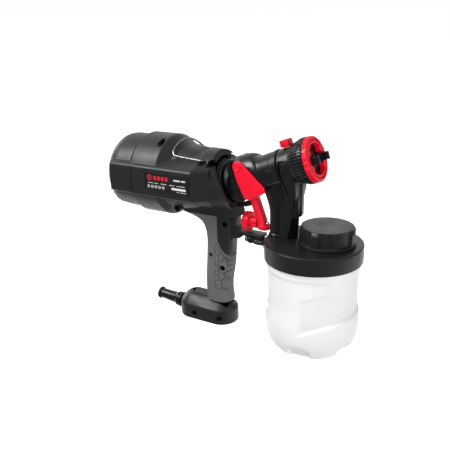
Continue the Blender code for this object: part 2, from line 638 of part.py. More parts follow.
def cup():
    """The blown paint cup: neck inside the lid, collar, waist, bulge and foot."""
    outer = mm((50.6, 120), (50.6, 106.2), (52.4, 106.2), (52.4, 99), (51.2, 96.5), (51.2, 62), (53.4, 45),
               (53.4, 34), (51.2, 23), (44.6, 7.5), (38.5, 0), (0, 0))
    inner = [(0, CUP_WALL), (37.4 * MM, CUP_WALL), (49.2 * MM, 24 * MM),
             (51.5 * MM, 35 * MM), (51.5 * MM, 44.6 * MM), (49.3 * MM, 61.6 * MM), (48.6 * MM, 120 * MM)]
    turned("cup", inner + outer, look=(WHITE, 0.35, 0.0), steps=32)


def pickup_tube():
    route = [(-41, 0, 197.2), (-41, 0, 104), (-39, 0, 92), (-33, 0, 76), (-16, 0, 34), (-9, 0, 8)]
    wire("pickup_tube", [Vector(point) * MM for point in route], 3.9 * MM, look=(WHITE, 0.4, 0.0),
         resolution=2)


def clamp():
    """The barrel clamp behind the lid and its thumb screw."""
    frame = Matrix.Translation((0, 0, CLAMP_Z)) @ Matrix.Rotation(math.pi / 2, 4, "Y")
    tube("clamp_barrel", 2.3 * MM, 5 * MM, -81 * MM, -60.4 * MM, frame, (BLACK, 0.4, 0.0), 20)
    profile = mm((0, -62), (2, -62), (2, -81.4), (3.8, -81.4), (3.8, -85), (3.2, -86), (0, -86))
    turned("clamp_screw", profile, frame, (STEEL, 0.35, 1.0), 16)


# ---- build ------------------------------------------------------------------------------
clear_scene()
PARTS = new_collection(OBJECT_NAME)
CUTTERS = new_collection("cutters")

housing_half("housing_right", -1)
housing_half("housing_left", 1)
for number, (screw_x, screw_z, screw_reach) in enumerate(SCREWS, 1):
    screw(number, screw_x, screw_z, screw_reach)
rear_cap()
mouth_ring()
label_plate()
wire_hook()
grip_overmould()
base_foot()
strain_relief()
cord_clamp()
capacitor()
switch()
strut()
motor()
impeller("impeller_rear", -178)
impeller("impeller_front", -156)
motor_mounts()
head_body()
fluid_line()
nozzle_group()
trigger()
flow_control()
lid()
filler_cap()
cup()
pickup_tube()
clamp()
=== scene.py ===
"""The looks of an electric HVLP spray gun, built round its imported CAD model.

Shapes are written in millimetres and scaled to metres when a mesh is made.
The gun sprays towards +X, Z is up, and the origin is the centre of the cup's foot.
"""
import math

import bmesh
import bpy
from mathutils import Matrix, Vector


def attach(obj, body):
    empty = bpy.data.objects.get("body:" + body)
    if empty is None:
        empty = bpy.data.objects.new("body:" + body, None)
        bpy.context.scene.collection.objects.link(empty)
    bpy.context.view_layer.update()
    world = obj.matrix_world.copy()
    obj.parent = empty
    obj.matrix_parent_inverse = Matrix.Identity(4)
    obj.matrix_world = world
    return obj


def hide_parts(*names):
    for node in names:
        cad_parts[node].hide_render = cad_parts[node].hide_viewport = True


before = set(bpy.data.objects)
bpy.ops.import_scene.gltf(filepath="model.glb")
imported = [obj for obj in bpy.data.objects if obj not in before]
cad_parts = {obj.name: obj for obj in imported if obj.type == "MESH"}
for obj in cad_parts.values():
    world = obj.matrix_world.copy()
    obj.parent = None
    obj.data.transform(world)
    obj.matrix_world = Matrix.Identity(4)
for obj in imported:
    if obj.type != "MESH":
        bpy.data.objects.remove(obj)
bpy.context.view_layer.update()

MM = 0.001
TAU = math.tau
SIDES = (-1, 1)                     # right and left of the gun, as signs of Y
FINE = 128                          # steps round a large turned piece
MIDDLE = 64                         # and round a middling one
SMALL = 32                          # and round a small one or a hole

# ---- places shared with the CAD, in millimetres -------------------------------------------
HEAD_TILT = math.radians(18.2)
TILTED = Matrix.Rotation(math.pi / 2 - HEAD_TILT, 4, "Y")
HEAD = Matrix.Translation((1.45, 0, 219.3)) @ TILTED
MOUTH = Matrix.Translation((-102.6, 0, 180)) @ TILTED
PLUNGER = MOUTH @ Matrix.Translation((26.8, 0, 0))
MOTOR_Z = 181
MOTOR = Matrix.Translation((0, 0, MOTOR_Z)) @ Matrix.Rotation(math.pi / 2, 4, "Y")
KNOB = Matrix.Translation((-68.6, 0, 137)) @ Matrix.Rotation(-math.pi / 2, 4, "Y")
CORD = Matrix.Translation((-180, 0, 11)) @ Matrix.Rotation(-math.pi / 2 + math.radians(4), 4, "Y")
CLAMP = Matrix.Translation((0, 0, 114.6)) @ Matrix.Rotation(math.pi / 2, 4, "Y")
FILLER = Matrix.Translation((15.6, 0, 0))
PIVOT = Vector((-84, 0, 205.5))
HERE = Matrix.Identity(4)


# ---- materials ----------------------------------------------------------------------------
def plug(tree, made, plugs):
    """Gives each named input its number, or a link where the value is another node's output."""
    for key, value in plugs.items():
        if isinstance(value, bpy.types.NodeSocket):
            tree.links.new(value, made.inputs[key])
        else:
            made.inputs[key].default_value = value


def node_of(tree, kind, plugs, **settings):
    made = tree.nodes.new(kind)
    for key, value in settings.items():
        setattr(made, key, value)
    plug(tree, made, plugs)
    return made


def noise_of(tree, coords, scale, detail=3):
    return node_of(tree, "ShaderNodeTexNoise", {"Scale": scale, "Detail": detail, "Vector": coords}).outputs["Fac"]


def ranged(tree, source, low, high, start=0.3, stop=0.7):
    """The source's stretch from start to stop, mapped to run from low to high."""
    return node_of(tree, "ShaderNodeMapRange", {"Value": source, "From Min": start, "From Max": stop,
                                                "To Min": low, "To Max": high}).outputs["Result"]


def calc(tree, operation, first, second):
    return node_of(tree, "ShaderNodeMath", {0: first, 1: second}, operation=operation).outputs["Value"]


def mixed(tree, factor, first, second):
    """A blend of two colours, each three numbers or another node's output."""
    first, second = [(*colour, 1) if isinstance(colour, tuple) else colour for colour in (first, second)]
    return node_of(tree, "ShaderNodeMix", {0: factor, 6: first, 7: second}, data_type="RGBA").outputs[2]


def shaded(name):
    """A new material, with its tree, its shader and the coordinates its patterns are drawn in."""
    made = bpy.data.materials.new(name)
    made.use_nodes = True
    tree = made.node_tree
    return made, tree, tree.nodes["Principled BSDF"], node_of(tree, "ShaderNodeTexCoord", {}).outputs["Object"]


def moulded(name, colour, other, rough, spread=0.06, grain=2600, bump=0.12, edge=0.5, specular=0.5,
            subsurface=0, edge_wear_and_highlight_colour=None, shaded_crevice_width=0):
    """A moulded plastic: cloudy colour, fine grain, light scuffs, and soft edges with a colour of their own, partly
    rubbed wear and partly a painted highlight.

    A crevice narrower than the one given, in millimetres, is painted dark as shade.
    """
    made, tree, shader, coords = shaded(name)
    body = mixed(tree, ranged(tree, noise_of(tree, coords, 28), 0, 1), colour, other)
    soft = node_of(tree, "ShaderNodeBevel", {"Radius": edge * MM}, samples=4).outputs["Normal"]
    if edge_wear_and_highlight_colour:
        flat = node_of(tree, "ShaderNodeNewGeometry", {}).outputs["Normal"]
        turn = node_of(tree, "ShaderNodeVectorMath", {0: soft, 1: flat}, operation="DOT_PRODUCT").outputs["Value"]
        # rubbed wear and painted highlight: where the softened normal turns from the face, the edge takes its own
        # colour, lighter on the dark plastics
        edge_wear_and_highlight = calc(tree, "MULTIPLY", ranged(tree, turn, 0.7, 0, 0.93, 0.995),
                      ranged(tree, noise_of(tree, coords, 90), 0.35, 1))
        body = mixed(tree, edge_wear_and_highlight, body, edge_wear_and_highlight_colour)
    if shaded_crevice_width:
        # painted shade: hollows narrower than the given width darken towards near-black
        crevice_shade = node_of(tree, "ShaderNodeAmbientOcclusion", {"Distance": shaded_crevice_width * MM}, samples=6).outputs["AO"]
        body = mixed(tree, ranged(tree, crevice_shade, 0, 1, 0.35, 0.85), (0.012, 0.012, 0.013), body)
    scuffs = calc(tree, "ADD", ranged(tree, noise_of(tree, coords, 60, 5), -spread, spread),
                  ranged(tree, noise_of(tree, coords, 900), rough - spread / 3, rough + spread / 3))
    relief = node_of(tree, "ShaderNodeBump", {"Strength": bump, "Distance": 0.05 * MM, "Normal": soft,
                                              "Height": noise_of(tree, coords, grain, 2)})
    plug(tree, shader, {"Base Color": body, "Roughness": scuffs, "Normal": relief.outputs["Normal"],
                        "Specular IOR Level": specular})
    if subsurface:
        plug(tree, shader, {"Subsurface Weight": subsurface, "Subsurface Radius": (1, 0.95, 0.9),
                            "Subsurface Scale": 4 * MM})
    return made


def metal(name, colour, other, rough):
    """A metal with patches of tarnish and fine scratches."""
    made, tree, shader, coords = shaded(name)
    tarnish = ranged(tree, noise_of(tree, coords, 120, 5), 0, 1)
    relief = node_of(tree, "ShaderNodeBump", {"Strength": 0.06, "Distance": 0.03 * MM,
                                              "Height": noise_of(tree, coords, 2100)})
    plug(tree, shader, {"Base Color": mixed(tree, tarnish, colour, other), "Normal": relief.outputs["Normal"],
                        "Roughness": ranged(tree, noise_of(tree, coords, 700), rough - 0.06, rough + 0.08),
                        "Metallic": 1})
    return made


# The edge colours below are rubbed wear and, on the dark plastics, a painted highlight.
SHELL = moulded("shell_plastic", (0.0105, 0.011, 0.0122), (0.0145, 0.0152, 0.0165), 0.42, bump=0.8, grain=1500,
                edge=0.6, edge_wear_and_highlight_colour=(0.045, 0.047, 0.05))
GLOSS = moulded("head_plastic", (0.0035, 0.0038, 0.0046), (0.0052, 0.0056, 0.0064), 0.33, bump=0.15,
                edge=0.5, edge_wear_and_highlight_colour=(0.04, 0.042, 0.045))
DEEP = moulded("dark_recess_plastic", (0.004, 0.004, 0.0045), (0.006, 0.006, 0.0065), 0.55, edge=0.3)
RED = moulded("red_plastic", (0.86, 0.005, 0.03), (0.78, 0.0045, 0.026), 0.34, spread=0.04, bump=0.08,
              edge=0.4, specular=0.4, edge_wear_and_highlight_colour=(0.74, 0.02, 0.04), subsurface=0.03)
# The grey's narrow grooves are darkened with painted shade.
GREY = moulded("soft_grey_rubber", (0.112, 0.114, 0.117), (0.13, 0.132, 0.135), 0.58, bump=0.4,
               grain=1900, edge=0.12, specular=0.35, edge_wear_and_highlight_colour=(0.16, 0.162, 0.165), shaded_crevice_width=1.6)
LID_PLASTIC = moulded("lid_plastic", (0.0075, 0.0078, 0.0086), (0.01, 0.0104, 0.0114), 0.4, bump=0.35,
                      grain=1700, edge=0.6, edge_wear_and_highlight_colour=(0.04, 0.042, 0.045))
WHITE = moulded("cup_polythene", (0.84, 0.844, 0.848), (0.8, 0.805, 0.81), 0.38, spread=0.05,
                bump=0.12, grain=900, edge=0.8, subsurface=0.25, specular=0.45)
RUBBER = moulded("black_rubber", (0.018, 0.018, 0.019), (0.028, 0.028, 0.029), 0.68, bump=0.4, edge=0.3)
PRINT_WHITE = moulded("print_white", (0.72, 0.72, 0.72), (0.62, 0.62, 0.62), 0.5, edge=0.05)
PRINT_RED = moulded("print_red", (0.55, 0.012, 0.02), (0.45, 0.01, 0.018), 0.45, edge=0.05)
FOAM = moulded("filter_foam", (0.1, 0.1, 0.105), (0.05, 0.05, 0.055), 0.95, bump=1, grain=700)
STEEL = metal("bright_steel", (0.66, 0.64, 0.6), (0.55, 0.53, 0.5), 0.24)
# Painted shade: screw heads at the bottom of their wells are near-black so the wells read as shaded holes.
WELL_SHADE_STEEL = metal("steel_painted_as_well_shade", (0.016, 0.016, 0.017), (0.011, 0.011, 0.012), 0.5)
DULL_STEEL = metal("dull_steel", (0.42, 0.41, 0.4), (0.32, 0.31, 0.3), 0.36)
BRASS = metal("brass", (0.72, 0.52, 0.22), (0.58, 0.4, 0.17), 0.28)
COPPER = metal("copper_winding", (0.6, 0.26, 0.13), (0.42, 0.17, 0.08), 0.34)


# ---- mesh helpers --------------------------------------------------------------------------
def placed(name, data):
    made = bpy.data.objects.new(name, data)
    bpy.context.scene.collection.objects.link(made)
    return made


def piece(name, verts, faces, place=HERE):
    mesh = bpy.data.meshes.new(name)
    mesh.from_pydata([tuple(v) for v in verts], [], faces)
    mesh.transform(Matrix.Scale(MM, 4) @ place)
    mesh.update()
    return placed(name, mesh)


def face_out(made):
    shape = bmesh.new()
    shape.from_mesh(made.data)
    bmesh.ops.recalc_face_normals(shape, faces=shape.faces)
    shape.to_mesh(made.data)
    shape.free()
    return made


def shade(made, angle):
    """Smooth faces, with every edge sharper than the angle kept crisp."""
    shape = bmesh.new()
    shape.from_mesh(made.data)
    for face in shape.faces:
        face.smooth = True
    for line in shape.edges:
        line.smooth = len(line.link_faces) == 2 and line.calc_face_angle(0) < math.radians(angle)
    shape.to_mesh(made.data)
    shape.free()


def rounded(points, radius, count=4):
    """The polyline with each inner corner turned into a small arc; radius is one number or one per point."""
    out = [points[0]]
    for i in range(1, len(points) - 1):
        here = Vector(points[i])
        back = Vector(points[i - 1]) - here
        ahead = Vector(points[i + 1]) - here
        reach = min(radius[i] if isinstance(radius, (list, tuple)) else radius, back.length * 0.48, ahead.length * 0.48)
        if reach < 0.02:
            out.append(tuple(here))
            continue
        first = here + back.normalized() * reach
        last = here + ahead.normalized() * reach
        for t in [k / count for k in range(count + 1)]:
            out.append(tuple(first * (1 - t) ** 2 + here * 2 * t * (1 - t) + last * t * t))
    return out + [points[-1]]


def rounded_loop(points, radius, count=4):
    """A closed outline with all its corners rounded."""
    around = [points[-1]] + list(points) + [points[0]]
    return rounded(around, [0] + [radius] * len(points) + [0], count)[1:-1]


def densified(points, step):
    """The polyline with points added so that no stretch is longer than the step."""
    out = [points[0]]
    for start, stop in zip(points, points[1:]):
        count = max(1, math.ceil((Vector(stop) - Vector(start)).length / step))
        out += [tuple(Vector(start).lerp(Vector(stop), k / count)) for k in range(1, count + 1)]
    return out


def turned(name, profile, place=HERE, steps=FINE, change=None):
    """A turned body from (radius, height) points; change(radius, height, angle) may move a radius."""
    verts = []
    rings = []
    for radius, height in profile:
        if radius < 1e-6:
            rings.append([len(verts)] * steps)
            verts.append((0, 0, height))
            continue
        rings.append(range(len(verts), len(verts) + steps))
        for angle in [TAU * i / steps for i in range(steps)]:
            reach = change(radius, height, angle) if change else radius
            verts.append((reach * math.cos(angle), reach * math.sin(angle), height))
    pairs = list(zip(rings, rings[1:]))
    if profile[0][0] > 1e-6:
        pairs.append((rings[-1], rings[0]))
    faces = []
    for low, high in pairs:
        for i in range(steps):
            j = (i + 1) % steps
            face = tuple(dict.fromkeys((low[i], low[j], high[j], high[i])))
            if len(face) > 2:
                faces.append(face)
    return face_out(piece(name, verts, faces, place))


def rod(name, radius, low, high, place, steps=SMALL):
    return turned(name, [(0, low), (radius, low), (radius, high), (0, high)], place, steps)


def skinned(name, rings, place=HERE):
    """A closed skin through rings of equal count, with flat ends."""
    size = len(rings[0])
    verts = [point for ring in rings for point in ring]
    faces = [tuple(range(size)), tuple(range(len(verts) - size, len(verts)))]
    for k in range(len(rings) - 1):
        for i in range(size):
            j = (i + 1) % size
            faces.append((k * size + i, k * size + j, (k + 1) * size + j, (k + 1) * size + i))
    return face_out(piece(name, verts, faces, place))


def slab(name, outline, low, high, plane="XZ", place=HERE, edge=0.6, corner=0):
    """An outline made solid between two levels of the third axis, with its edges rounded."""
    if corner:
        outline = rounded_loop(outline, corner)
    size = len(outline)
    order = {"XZ": (0, 2, 1), "XY": (0, 1, 2), "YZ": (2, 0, 1)}[plane]
    verts = [tuple((u, v, level)[k] for k in order) for level in (low, high) for u, v in outline]
    faces = [tuple(range(size)), tuple(range(size, 2 * size))]
    faces += [(i, (i + 1) % size, size + (i + 1) % size, size + i) for i in range(size)]
    made = face_out(piece(name, verts, faces, place))
    return soften(made, edge) if edge else made


def sheet(name, low, high, near, far, edge=0, corner=0):
    """An upright rectangle from one (X, Z) corner to the other, solid between two levels of Y."""
    outline = [low, (high[0], low[1]), high, (low[0], high[1])]
    return slab(name, outline, near, far, edge=edge, corner=corner)


def soften(made, width, segments=3, above=35):
    edge = made.modifiers.new("round", "BEVEL")
    edge.width = width * MM
    edge.segments = segments
    edge.limit_method = "ANGLE"
    edge.angle_limit = math.radians(above)
    return baked(made)


def brick(name, low, high, place=HERE, edge=0.5):
    outline = [(low[0], low[1]), (high[0], low[1]), (high[0], high[1]), (low[0], high[1])]
    return slab(name, outline, low[2], high[2], "XY", place, edge)


def pair(side, near, far):
    """Two distances from the middle plane as levels of Y on one side, the lower one first."""
    return sorted((side * near, side * far))


def side_bricks(name, xs, ys, zs):
    """Two sharp bricks, one on each side of the middle plane."""
    return [brick(name, (xs[0], low, zs[0]), (xs[1], high, zs[1]), HERE, 0)
            for low, high in [pair(side, *ys) for side in SIDES]]


def bar(name, path, radius, steps):
    """A round bar along points, with rings square to its path."""
    rings = []
    side = None
    for i, here in enumerate(path):
        along = (path[min(i + 1, len(path) - 1)] - path[max(i - 1, 0)]).normalized()
        if side is None:
            side = along.orthogonal().normalized()
        side = (side - along * side.dot(along)).normalized()
        other = along.cross(side)
        rings.append([here + side * radius * math.cos(TAU * k / steps) + other * radius * math.sin(TAU * k / steps)
                      for k in range(steps)])
    return skinned(name, rings)


def baked(made):
    """The object with its modifiers applied."""
    seen = made.evaluated_get(bpy.context.evaluated_depsgraph_get())
    mesh = bpy.data.meshes.new_from_object(seen)
    mesh.name = made.name
    made.modifiers.clear()
    made.data = mesh
    return made


def combine(made, others, operation):
    for other in others:
        step = made.modifiers.new(operation, "BOOLEAN")
        step.operation = operation
        step.solver = "EXACT"
        step.object = other
    baked(made)
    for other in others:
        bpy.data.objects.remove(other, do_unlink=True)
    return made


def cut(made, *others):
    return combine(made, others, "DIFFERENCE")


def united(made, *others):
    return combine(made, others, "UNION")


def joined(name, parts):
    """Several closed meshes kept as one piece."""
    shape = bmesh.new()
    for part in parts:
        shape.from_mesh(part.data)
    mesh = bpy.data.meshes.new(name)
    shape.to_mesh(mesh)
    shape.free()
    for part in parts:
        bpy.data.objects.remove(part, do_unlink=True)
    return placed(name, mesh)


def finish_piece(made, name, body, look, nodes=(), angle=32):
    """Names, shades and paints a piece, ties it to its body and hides the CAD nodes it stands for."""
    made.name = name
    made.data.name = name
    shade(made, angle)
    made.data.materials.clear()
    made.data.materials.append(look)
    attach(made, body)
    if nodes:
        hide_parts(*nodes)


def along_y(x, z):
    """A place whose local Z runs along the gun's Y."""
    return Matrix.Translation((x, 0, z)) @ Matrix.Rotation(-math.pi / 2, 4, "X")


def between(table, x):
    """A value read off a table of (x, value) rows in rising x."""
    if x <= table[0][0]:
        return table[0][1]
    for (x0, v0), (x1, v1) in zip(table, table[1:]):
        if x <= x1:
            return v0 + (v1 - v0) * (x - x0) / (x1 - x0)
    return table[-1][1]


def step_up(value, low, high):
    t = min(1, max(0, (value - low) / (high - low)))
    return t * t * (3 - 2 * t)


def arc(centre, radius, start, stop, count):
    turns = [math.radians(start + (stop - start) * i / (count - 1)) for i in range(count)]
    return [(centre[0] + radius * math.cos(t), centre[1] + radius * math.sin(t)) for t in turns]


def soft_max(a, b, k):
    h = max(k - abs(a - b), 0) / k
    return max(a, b) + h * h * k * 0.25


def well(x, z, radius, depth_from, side):
    """A cutter for a screw well that runs in from one side."""
    return rod("well", radius, *pair(side, depth_from, 70), along_y(x, z))


def screw_head(x, z, reach):
    """The head of a recessed screw with a cross slot."""
    head = turned("head", rounded([(0, reach), (2.9, reach), (2.9, reach + 1.6), (0, reach + 1.8)], 0.4),
                  along_y(x, z), SMALL)
    return cut(head, *[brick("slot", (-u, -v, reach - 0.5), (u, v, reach + 0.8), along_y(x, z), 0)
                       for u, v in ((1.9, 0.35), (0.35, 1.9))])


def level_ring(z, rear, front, wide, power=1, count=64, offset=0):
    """A level section between two places in X: an ellipse that turns into a rounded box as the power falls."""
    ring = []
    for turn in [TAU * (i + offset) / count for i in range(count)]:
        c = math.cos(turn)
        s = math.sin(turn)
        ring.append(((rear + front) / 2 + (front - rear) / 2 * math.copysign(abs(c) ** power, c),
                     wide * math.copysign(abs(s) ** power, s), z))
    return ring


def polar_ring(reach_at, height, steps):
    """A ring round the local Z axis whose reach is read off its angle."""
    ring = []
    for angle in [TAU * (i + 0.5) / steps for i in range(steps)]:
        reach = reach_at(angle)
        ring.append((reach * math.cos(angle), reach * math.sin(angle), height))
    return ring


# ---- motor housing -------------------------------------------------------------------------
SHELL_LINE = rounded([(-215.7, 49.7), (-215.3, 50.3), (-179.5, 50.3), (-167, 41.4), (-150, 38.6),
                      (-139, 36.3), (-134.5, 34.9), (-120, 34.6), (-108, 33.6), (-90, 32), (-60, 32)],
                     [0, 0, 1.2, 1.6, 6, 3, 1.5, 2, 2, 0, 0], 5)
SHELL_UNDER = rounded([(-215.7, 47.6), (-215.3, 48.2), (-179.5, 48.2), (-173, 40.6), (-150, 38),
                       (-139, 36.3), (-134.5, 34.9), (-120, 34.6), (-108, 33.6), (-90, 32), (-60, 32)],
                      [0, 0, 1.2, 1.6, 6, 3, 1.5, 2, 2, 0, 0], 5)
PANEL_LINE = [(-216, 49.6), (-212.2, 49.6), (-212, 51), (-128, 51), (-113.2, 37.4), (-112.4, 20)]
HOOD_LINE = rounded([(-134.2, 30), (-133, 36.6), (-131, 38), (-113, 37.2), (-109, 35.2), (-104, 33),
                     (-90, 30)], [0, 1, 1.5, 3, 3, 1, 0], 4)
ROOT_HALF = 14.2
PANEL_SLOPE = 0.37


def panel_reach(up, side, flat, tall):
    """How far out the side panel's box reaches: a flat face with a sloping top and a level underside."""
    if up > 0:
        height = (up + PANEL_SLOPE * side) / (tall + PANEL_SLOPE * flat)
    else:
        height = -up / 15.5
    return ((side / flat) ** 30 + abs(height) ** 30) ** (-1 / 30)


def housing_radius(x, angle):
    up = -math.cos(angle)
    side = abs(math.sin(angle))
    under = step_up(-up, 0.3, 0.75)
    reach = between(SHELL_LINE, x) * (1 - under) + between(SHELL_UNDER, x) * under
    if x < -112.4:
        reach = soft_max(reach, panel_reach(up, side, between(PANEL_LINE, x), 19.5), 0.35)
    if -134.2 < x < -85 and up > -0.8:
        hood = between(HOOD_LINE, x)
        edge = max(step_up(up, 0.24, 0.34), step_up(x, -119.5, -116.5) * step_up(up, -0.78, -0.58))
        reach = max(reach, reach + (hood - reach) * edge) if hood > reach else reach
    if x > -178 and up < 0:
        root = ((side / ROOT_HALF) ** 10 + (abs(up) / 40) ** 10) ** (-1 / 10)
        reach = soft_max(reach, root, 1.5)
    return reach


def housing_block():
    stops = {-215.7, -215.3, -214.5, -212.25, -212.15, -212, -178.05, -177.95, -134.25, -134.15, -133.4, -113.2,
             -112.45, -112.35} | {k - 213.5 for k in range(130)}
    return skinned("housing", [polar_ring(lambda angle, x=x: housing_radius(x, angle), x, 400)
                               for x in sorted(stops)], MOTOR)


HANDLE_FRONT = [(28, -105.2), (32, -105.4), (38, -106.6), (44, -107.2), (53, -107), (62, -105.9), (71, -104.3),
                (80, -102.9), (97.6, -101.4), (104, -101), (112, -100.3), (156, -99.3)]
HANDLE_REAR = [(28, -138.2), (30, -138.7), (43, -139.2), (56, -139.2), (69, -138.5), (82, -137.6), (93, -136.8),
               (103, -136.3), (111, -136.3), (118, -136.8), (123, -137.9), (127, -139.5), (131, -142.4),
               (134.5, -147), (137.5, -155.5), (139.4, -164), (140.8, -170.5), (141.2, -173), (156, -176)]
HANDLE_SQUARE = [(28, 2.6), (60, 2.9), (110, 3), (130, 4), (141, 7), (156, 8)]
CORE_EDGE = rounded([(-90, 83), (-101.6, 88.4), (-110.3, 98), (-117, 110.5), (-117, 140.95), (-190, 140.95)],
                    [0, 5, 8, 3, 0.5, 0], 6)

# the grip panel's border and its cracks, as X and Z in millimetres
PANEL_BORDER = [(-101, 83.6), (-104.5, 86.2), (-111.8, 94.6), (-118.9, 106.6), (-120.8, 106.4), (-122.4, 49),
                (-120.4, 46.2), (-112, 45.8), (-104, 47), (-98, 47.6)]
CRACKS = [[(-120.9, 100.5), (-115.6, 95.5), (-114.2, 101.5)], [(-115.6, 95.5), (-116.2, 90.2), (-121.3, 91.8)],
          [(-115.6, 95.5), (-109.5, 90.6), (-109, 93.6)],
          [(-116.2, 90.2), (-115.6, 82.2), (-121.6, 82.8)], [(-115.6, 82.2), (-111.4, 84), (-109.5, 90.6)],
          [(-115.6, 82.2), (-117.6, 76.4), (-121.8, 77.4)], [(-117.6, 76.4), (-115.2, 69.8), (-121.9, 70.9)],
          [(-115.2, 69.8), (-117.9, 63.8), (-122, 64.4)], [(-117.9, 63.8), (-113.9, 58.2), (-122.2, 57.4)],
          [(-113.9, 58.2), (-112, 46)], [(-113.9, 58.2), (-107.6, 62.6), (-101, 60.4)],
          [(-107.6, 62.6), (-110.3, 68.4), (-115.2, 69.8)], [(-107.6, 62.6), (-105.6, 54), (-100, 53.2)],
          [(-105.6, 54), (-107, 46.4)], [(-106.2, 84.8), (-100, 84.2)], [(-105.6, 78.6), (-100, 78)],
          [(-106.2, 84.8), (-109.5, 90.6)], [(-105.6, 78.6), (-106.2, 84.8)],
          [(-106.6, 71), (-101, 70.2)], [(-106.6, 71), (-110.3, 68.4)], [(-118.8, 50.8), (-122.2, 52.2)]]


GROOVES = [(Vector(a), Vector(b)) for line in [PANEL_BORDER] + CRACKS for a, b in zip(line, line[1:])]


def groove_depth(x, z):
    """How deep the nearest groove is at a point of the grip's side."""
    if not (-124 < x < -100 and 44 < z < 112):
        return 0
    point = Vector((x, z))
    near = 9
    for start, stop in GROOVES:
        line = stop - start
        t = min(1, max(0, (point - start).dot(line) / line.length_squared))
        near = min(near, (point - start - line * t).length)
    return 1 - step_up(near, 0.3, 0.75)


def sunk(ring):
    """The ring with its grooves pressed in, square to the surface."""
    out = []
    for i, (x, y, z) in enumerate(ring):
        ahead = ring[(i + 1) % len(ring)]
        tangent = Vector((ahead[0] - ring[i - 1][0], ahead[1] - ring[i - 1][1])).normalized()
        depth = groove_depth(x, z) * step_up(abs(y), 1, 3)
        out.append((x - tangent.y * depth, y + tangent.x * depth, z))
    return out


def handle_block(low, high, step, grooves=False):
    """The handle between two levels, a rounded box longer than it is wide."""
    count = math.ceil((high - low) / step)
    rings = [level_ring(z, between(HANDLE_REAR, z), between(HANDLE_FRONT, z), 14.2, 2 / between(HANDLE_SQUARE, z),
                        300 if grooves else 160) for z in [low + (high - low) * k / count for k in range(count + 1)]]
    return skinned("handle", [sunk(ring) for ring in rings] if grooves else rings)


def core_prism(name, grow):
    """The region of the handle in front of the soft grip's edge, as a wide cutter."""
    outline = [(x + grow * 0.8, z + grow) for x, z in CORE_EDGE] + [(-190, 175), (-80, 175)]
    return slab(name, outline, -40, 40, edge=0)


# the housing's screw wells: X, Z, how far out the screw sits, and the well's radius
SCREWS = [(-107, 132.4, 13.7, 3.5), (-115.8, 206.6, 25, 4), (-165, 147.4, 24, 3.4), (-184.5, 224.5, 21, 3.9)]


def housing_halves():
    block = housing_block()
    core = handle_block(94, 158, 1)
    combine(core, [core_prism("front", 0)], "INTERSECT")
    bosses = [turned("boss", rounded([(0, low), (4.8, low), (4.8, high), (0, high)], [0, 0.8, 0.8, 0], 3),
                     along_y(-165, 147.4), SMALL) for low, high in ((-26.6, -10), (10, 26.6))]
    united(block, core, *bosses)
    crevice_shade = turned("crevice_shade", [(0, -230), (45.4, -230), (45.4, -184), (38.4, -177), (36.4, -160), (31, -120),
                               (29, -80), (0, -80)], MOTOR, FINE)
    mouth = slab("mouth", [(-80, -2.2), (-24, -2), (-12, 1.5), (0, 4.6), (10, 5), (17, 2.5), (23, -1.5),
                           (27, -3.3), (80, -3.3), (80, 60), (-80, 60)], -60, 60, place=MOUTH, edge=0)
    cut(block, crevice_shade, mouth, rod("way", 3.3, -26, 6, PLUNGER),
        brick("shaft", (-130, -8.5, 60), (-116, 8.5, 170), HERE, 0))
    wells = [well(x, z, radius, reach - 8, side) for x, z, reach, radius in SCREWS for side in SIDES]
    slot = [(0, -40), (3.6, -40), (3.6, -25.2), (2, -25.2), (2, 25.2), (3.6, 25.2), (3.6, 40), (0, 40)]
    cut(block, *wells, turned("slot_way", slot, along_y(-125, 208), SMALL))
    cut(block, *side_bricks("seam", (-214.2, -212.4), (48.4, 60), (163, 204.5)))
    other = placed("other", block.data.copy())
    cut(block, brick("far", (-320, 0.15, 0), (0, 90, 300), HERE, 0))
    cut(other, brick("near", (-320, -90, 0), (0, -0.15, 300), HERE, 0))
    finish_piece(block, "housing_shell_right", "gun", SHELL, ["housing_right"])
    finish_piece(other, "housing_shell_left", "gun", SHELL, ["housing_left"])


def cap_change(radius, height, angle):
    up = -math.cos(angle)
    side = abs(math.sin(angle))
    if radius < 44:
        return radius
    radius -= 1.9 * step_up(-up, 0.3, 0.75)
    if height < -247.5:
        return radius
    return soft_max(radius, panel_reach(up, side, 49.4, 19.2), 0.35)


def rear_cap():
    outer = rounded([(44.6, -215.9), (44.6, -219), (46.6, -219), (47, -219.5), (47, -244), (45, -251.5),
                     (39.4, -257.6), (30, -260.9), (0, -261.5)], [0, 0.2, 0.2, 0.3, 6, 6, 6, 6, 0], 6)
    inner = [(0, -259.6), (29, -259.4), (37, -256.9), (41.4, -250), (42.4, -240), (42.4, -215.9)]
    cap = turned("cap", inner + densified(outer[:-1], 1.6) + [outer[-1]], MOTOR, 288, cap_change)
    cut(cap, *[brick("slot", (12, -1.3, -270), (31, 1.3, -255),
                     MOTOR @ Matrix.Rotation(TAU * (i + 0.5) / 16, 4, "Z"), 0) for i in range(16)])
    finish_piece(cap, "rear_cap_shell", "rear_cap", SHELL, ["rear_cap"])


def mouth_ring():
    profile = rounded([(22.6, -3), (29.4, -3), (29.4, -1.2), (27.6, -0.6), (26, -0.6), (25.2, 1.2), (23.4, 1.2),
                       (22.6, 0.6)], 0.5, 3)
    ring = cut(turned("ring", profile, MOUTH, FINE), rod("way", 2.9, -9, 9, PLUNGER))
    finish_piece(ring, "mouth_ring_detail", "gun", DEEP, ["mouth_ring"])


